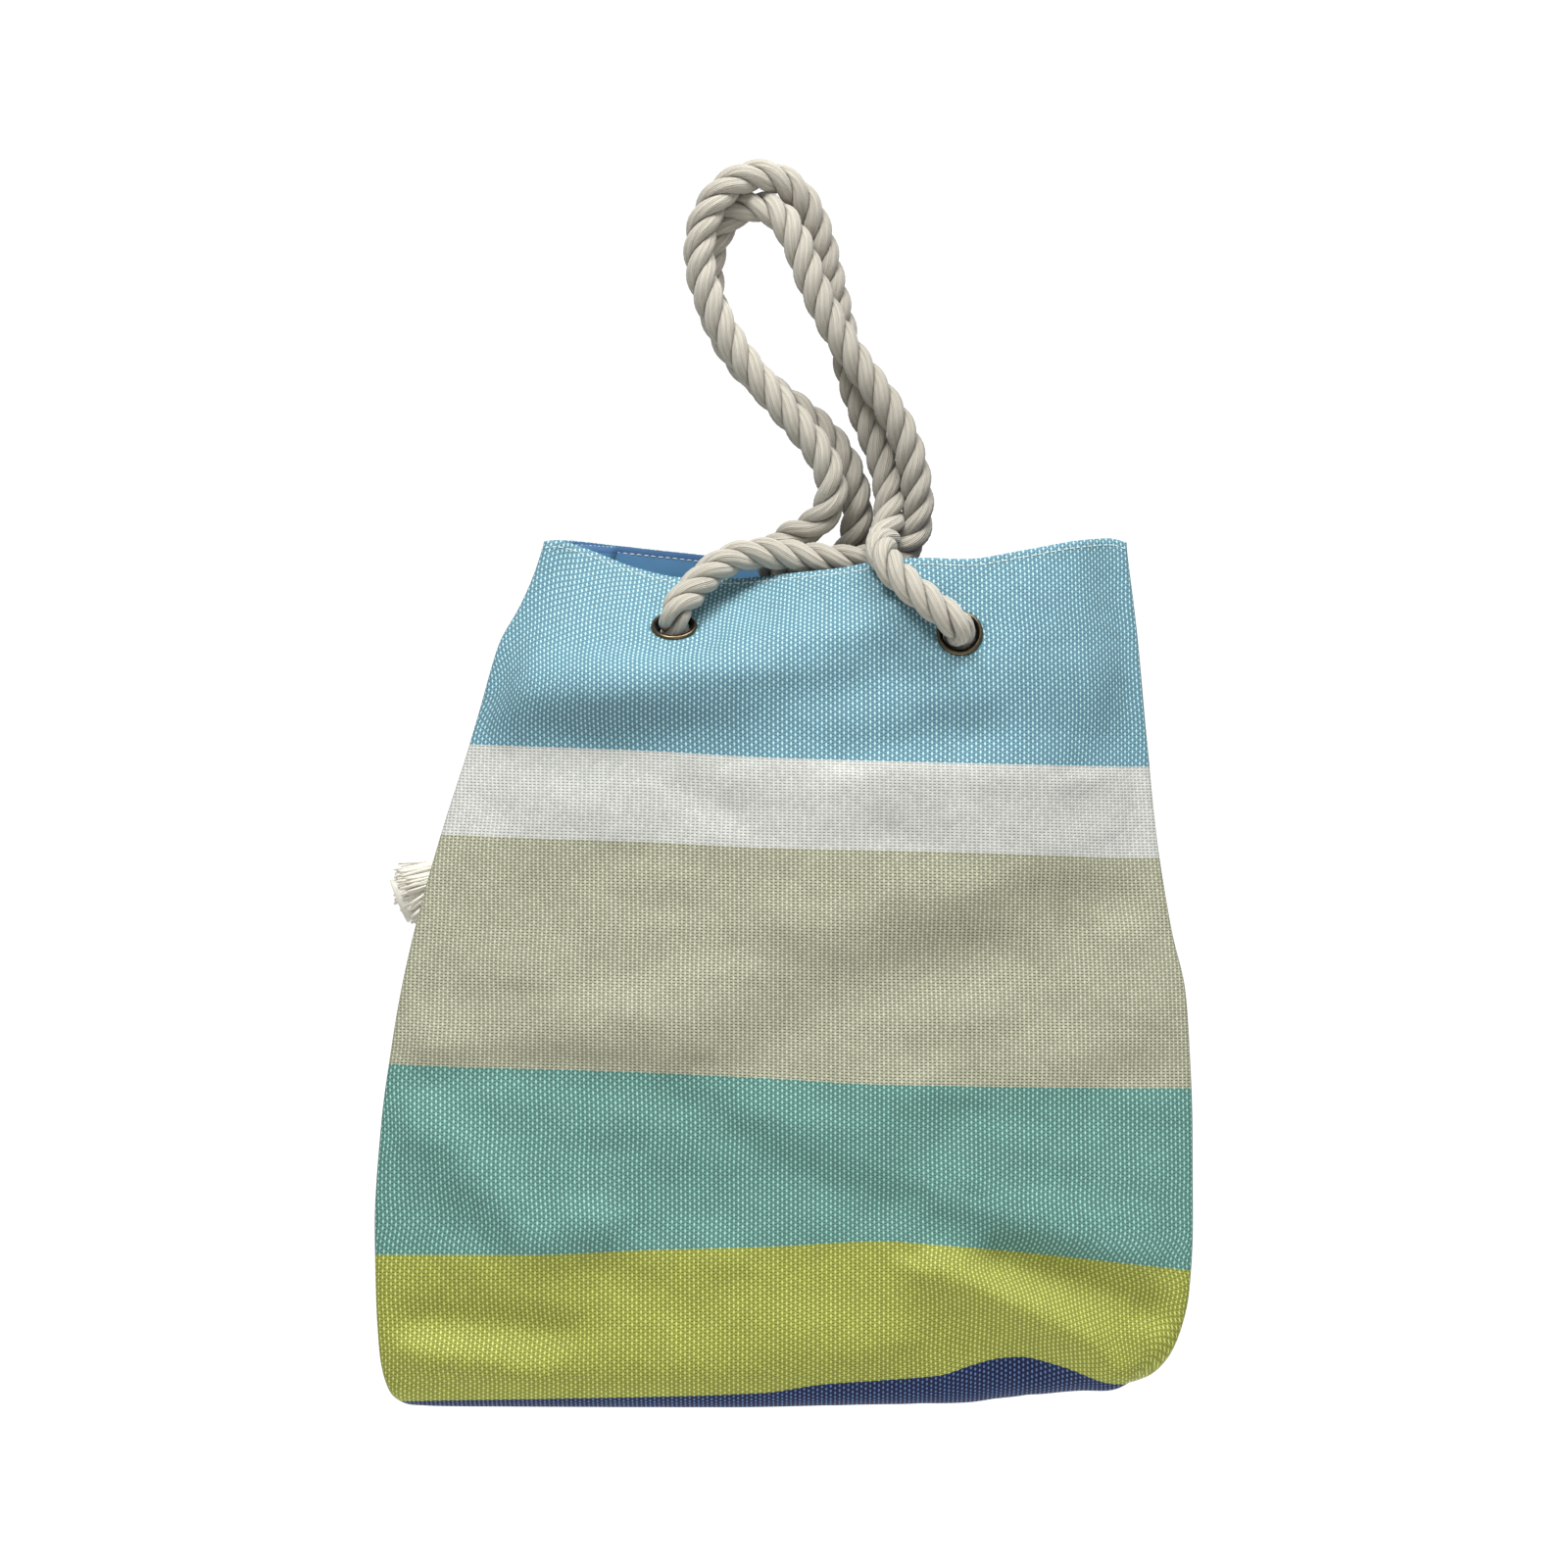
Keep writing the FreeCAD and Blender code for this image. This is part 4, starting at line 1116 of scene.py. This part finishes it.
for (face, hand), (centre, facing) in eyeletSeats.items():
    ring = spunRing(face + "_" + hand + "_eyelet_ring", eyeletSection, centre, facing)
    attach(ring, "bag")
    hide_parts(face + "_" + hand + "_eyelet")
    under = centre - facing * (wall["thick"] + 1.6) * mm
    ring = spunRing(face + "_" + hand + "_washer_ring", washerSection, under, -facing)
    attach(ring, "bag")
    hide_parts(face + "_" + hand + "_washer")


# Topstitching along the rim.
stitch = {"drop": 3.2, "pitch": 3.3, "long": 2.5, "thick": 0.5, "proud": 0.12, "step": 0.2}


def stitchRow(name, face, insideOut):
    grid = outerGrids[face]
    down = runs(grid[:8], 0)
    ups = unit(gridNormals(grid)[2] * outward(grid, face))
    line = np.array([[np.interp(stitch["drop"], down[:, i], grid[:8, i, k]) for k in range(3)]
                     for i in range(grid.shape[1])])
    if insideOut:
        line = line - ups * (lining["inset"] + lining["thick"] + stitch["proud"])
        ups = -ups
    else:
        line = line + ups * stitch["proud"]
    even, at = evenly(line * mm, stitch["step"] * mm)
    lift = resampled(ups, len(even))
    bm = bmesh.new()
    count = int(at[-1] / (stitch["pitch"] * mm))
    for k in range(1, count):
        middle = int(k * stitch["pitch"] / stitch["step"])
        if middle + 8 >= len(even):
            break
        ahead = Vector(even[middle + 6] - even[middle - 6]).normalized()
        up = Vector(lift[middle])
        side = ahead.cross(up).normalized()
        up = side.cross(ahead).normalized()
        frameTo = Matrix((ahead, side, up)).transposed().to_4x4()
        frameTo.translation = Vector(even[middle])
        made = bmesh.ops.create_uvsphere(bm, u_segments=6, v_segments=5, radius=0.5)["verts"]
        size = (stitch["thick"] * mm, stitch["thick"] * mm, stitch["long"] * mm)
        bmesh.ops.scale(bm, vec=size, verts=made)
        bmesh.ops.rotate(bm, cent=(0, 0, 0), matrix=Matrix.Rotation(math.pi / 2, 3, "Y"), verts=made)
        bmesh.ops.transform(bm, matrix=frameTo, verts=made)
    return newObject(name, bm, whiteThread)


for face in ("front", "back"):
    for insideOut in (False, True):
        row = stitchRow(face + ("_rim_stitches_inside" if insideOut else "_rim_stitches"), face, insideOut)
        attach(row, "bag")
print("eyelets and stitches ready")


camera = bpy.data.cameras.new("camera")
camera.sensor_width = 36.0
camera.lens = 36.0 * view["away"] / view["wide"]
cameraObject = bpy.data.objects.new("camera", camera)
cameraObject.location = (view["aim"][0], view["aim"][1] - view["away"], view["aim"][2])
cameraObject.rotation_euler = (math.pi / 2, 0, 0)
bpy.context.scene.collection.objects.link(cameraObject)
bpy.context.scene.camera = cameraObject
bpy.context.scene.view_settings.view_transform = "Standard"

lights = [
    {"name": "key", "at": (-0.5, -1.1, 1.5), "wide": 0.8, "watts": 38.0},
    {"name": "top", "at": (0.55, -0.6, 1.6), "wide": 1.0, "watts": 32.0},
    {"name": "front", "at": (0.7, -2.4, -0.1), "wide": 1.6, "watts": 7.0},
    {"name": "behind", "at": (0.4, 1.8, 0.7), "wide": 1.4, "watts": 14.0},
]
for entry in lights:
    data = bpy.data.lights.new(entry["name"], "AREA")
    data.shape = "DISK"
    data.size = entry["wide"]
    data.energy = entry["watts"]
    lamp = bpy.data.objects.new(entry["name"], data)
    lamp.location = entry["at"]
    toward = Vector((0.014, 0, -0.3)) - Vector(entry["at"])
    lamp.rotation_euler = toward.to_track_quat("-Z", "Y").to_euler()
    bpy.context.scene.collection.objects.link(lamp)

world = bpy.data.worlds.new("studio")
world.use_nodes = True
bpy.context.scene.world = world
tree = world.node_tree
sky = tree.nodes["Background"]
seen = tree.nodes.new("ShaderNodeLightPath")
strength = mathNode(tree, "MULTIPLY_ADD", seen.outputs["Is Camera Ray"], 0.7, 0.4)
tree.links.new(strength, sky.inputs["Strength"])
sky.inputs["Color"].default_value = (1, 1, 1, 1)

floorMaterial, tree, shader = newMaterial("pale_floor")
shader.inputs["Base Color"].default_value = (0.86, 0.86, 0.85, 1)
shader.inputs["Roughness"].default_value = 0.8
bm = bmesh.new()
bmesh.ops.create_circle(bm, cap_ends=True, segments=96, radius=0.8,
                        matrix=Matrix.Translation((0.014, 0, -0.75)))
floor = newObject("floor", bm, floorMaterial)
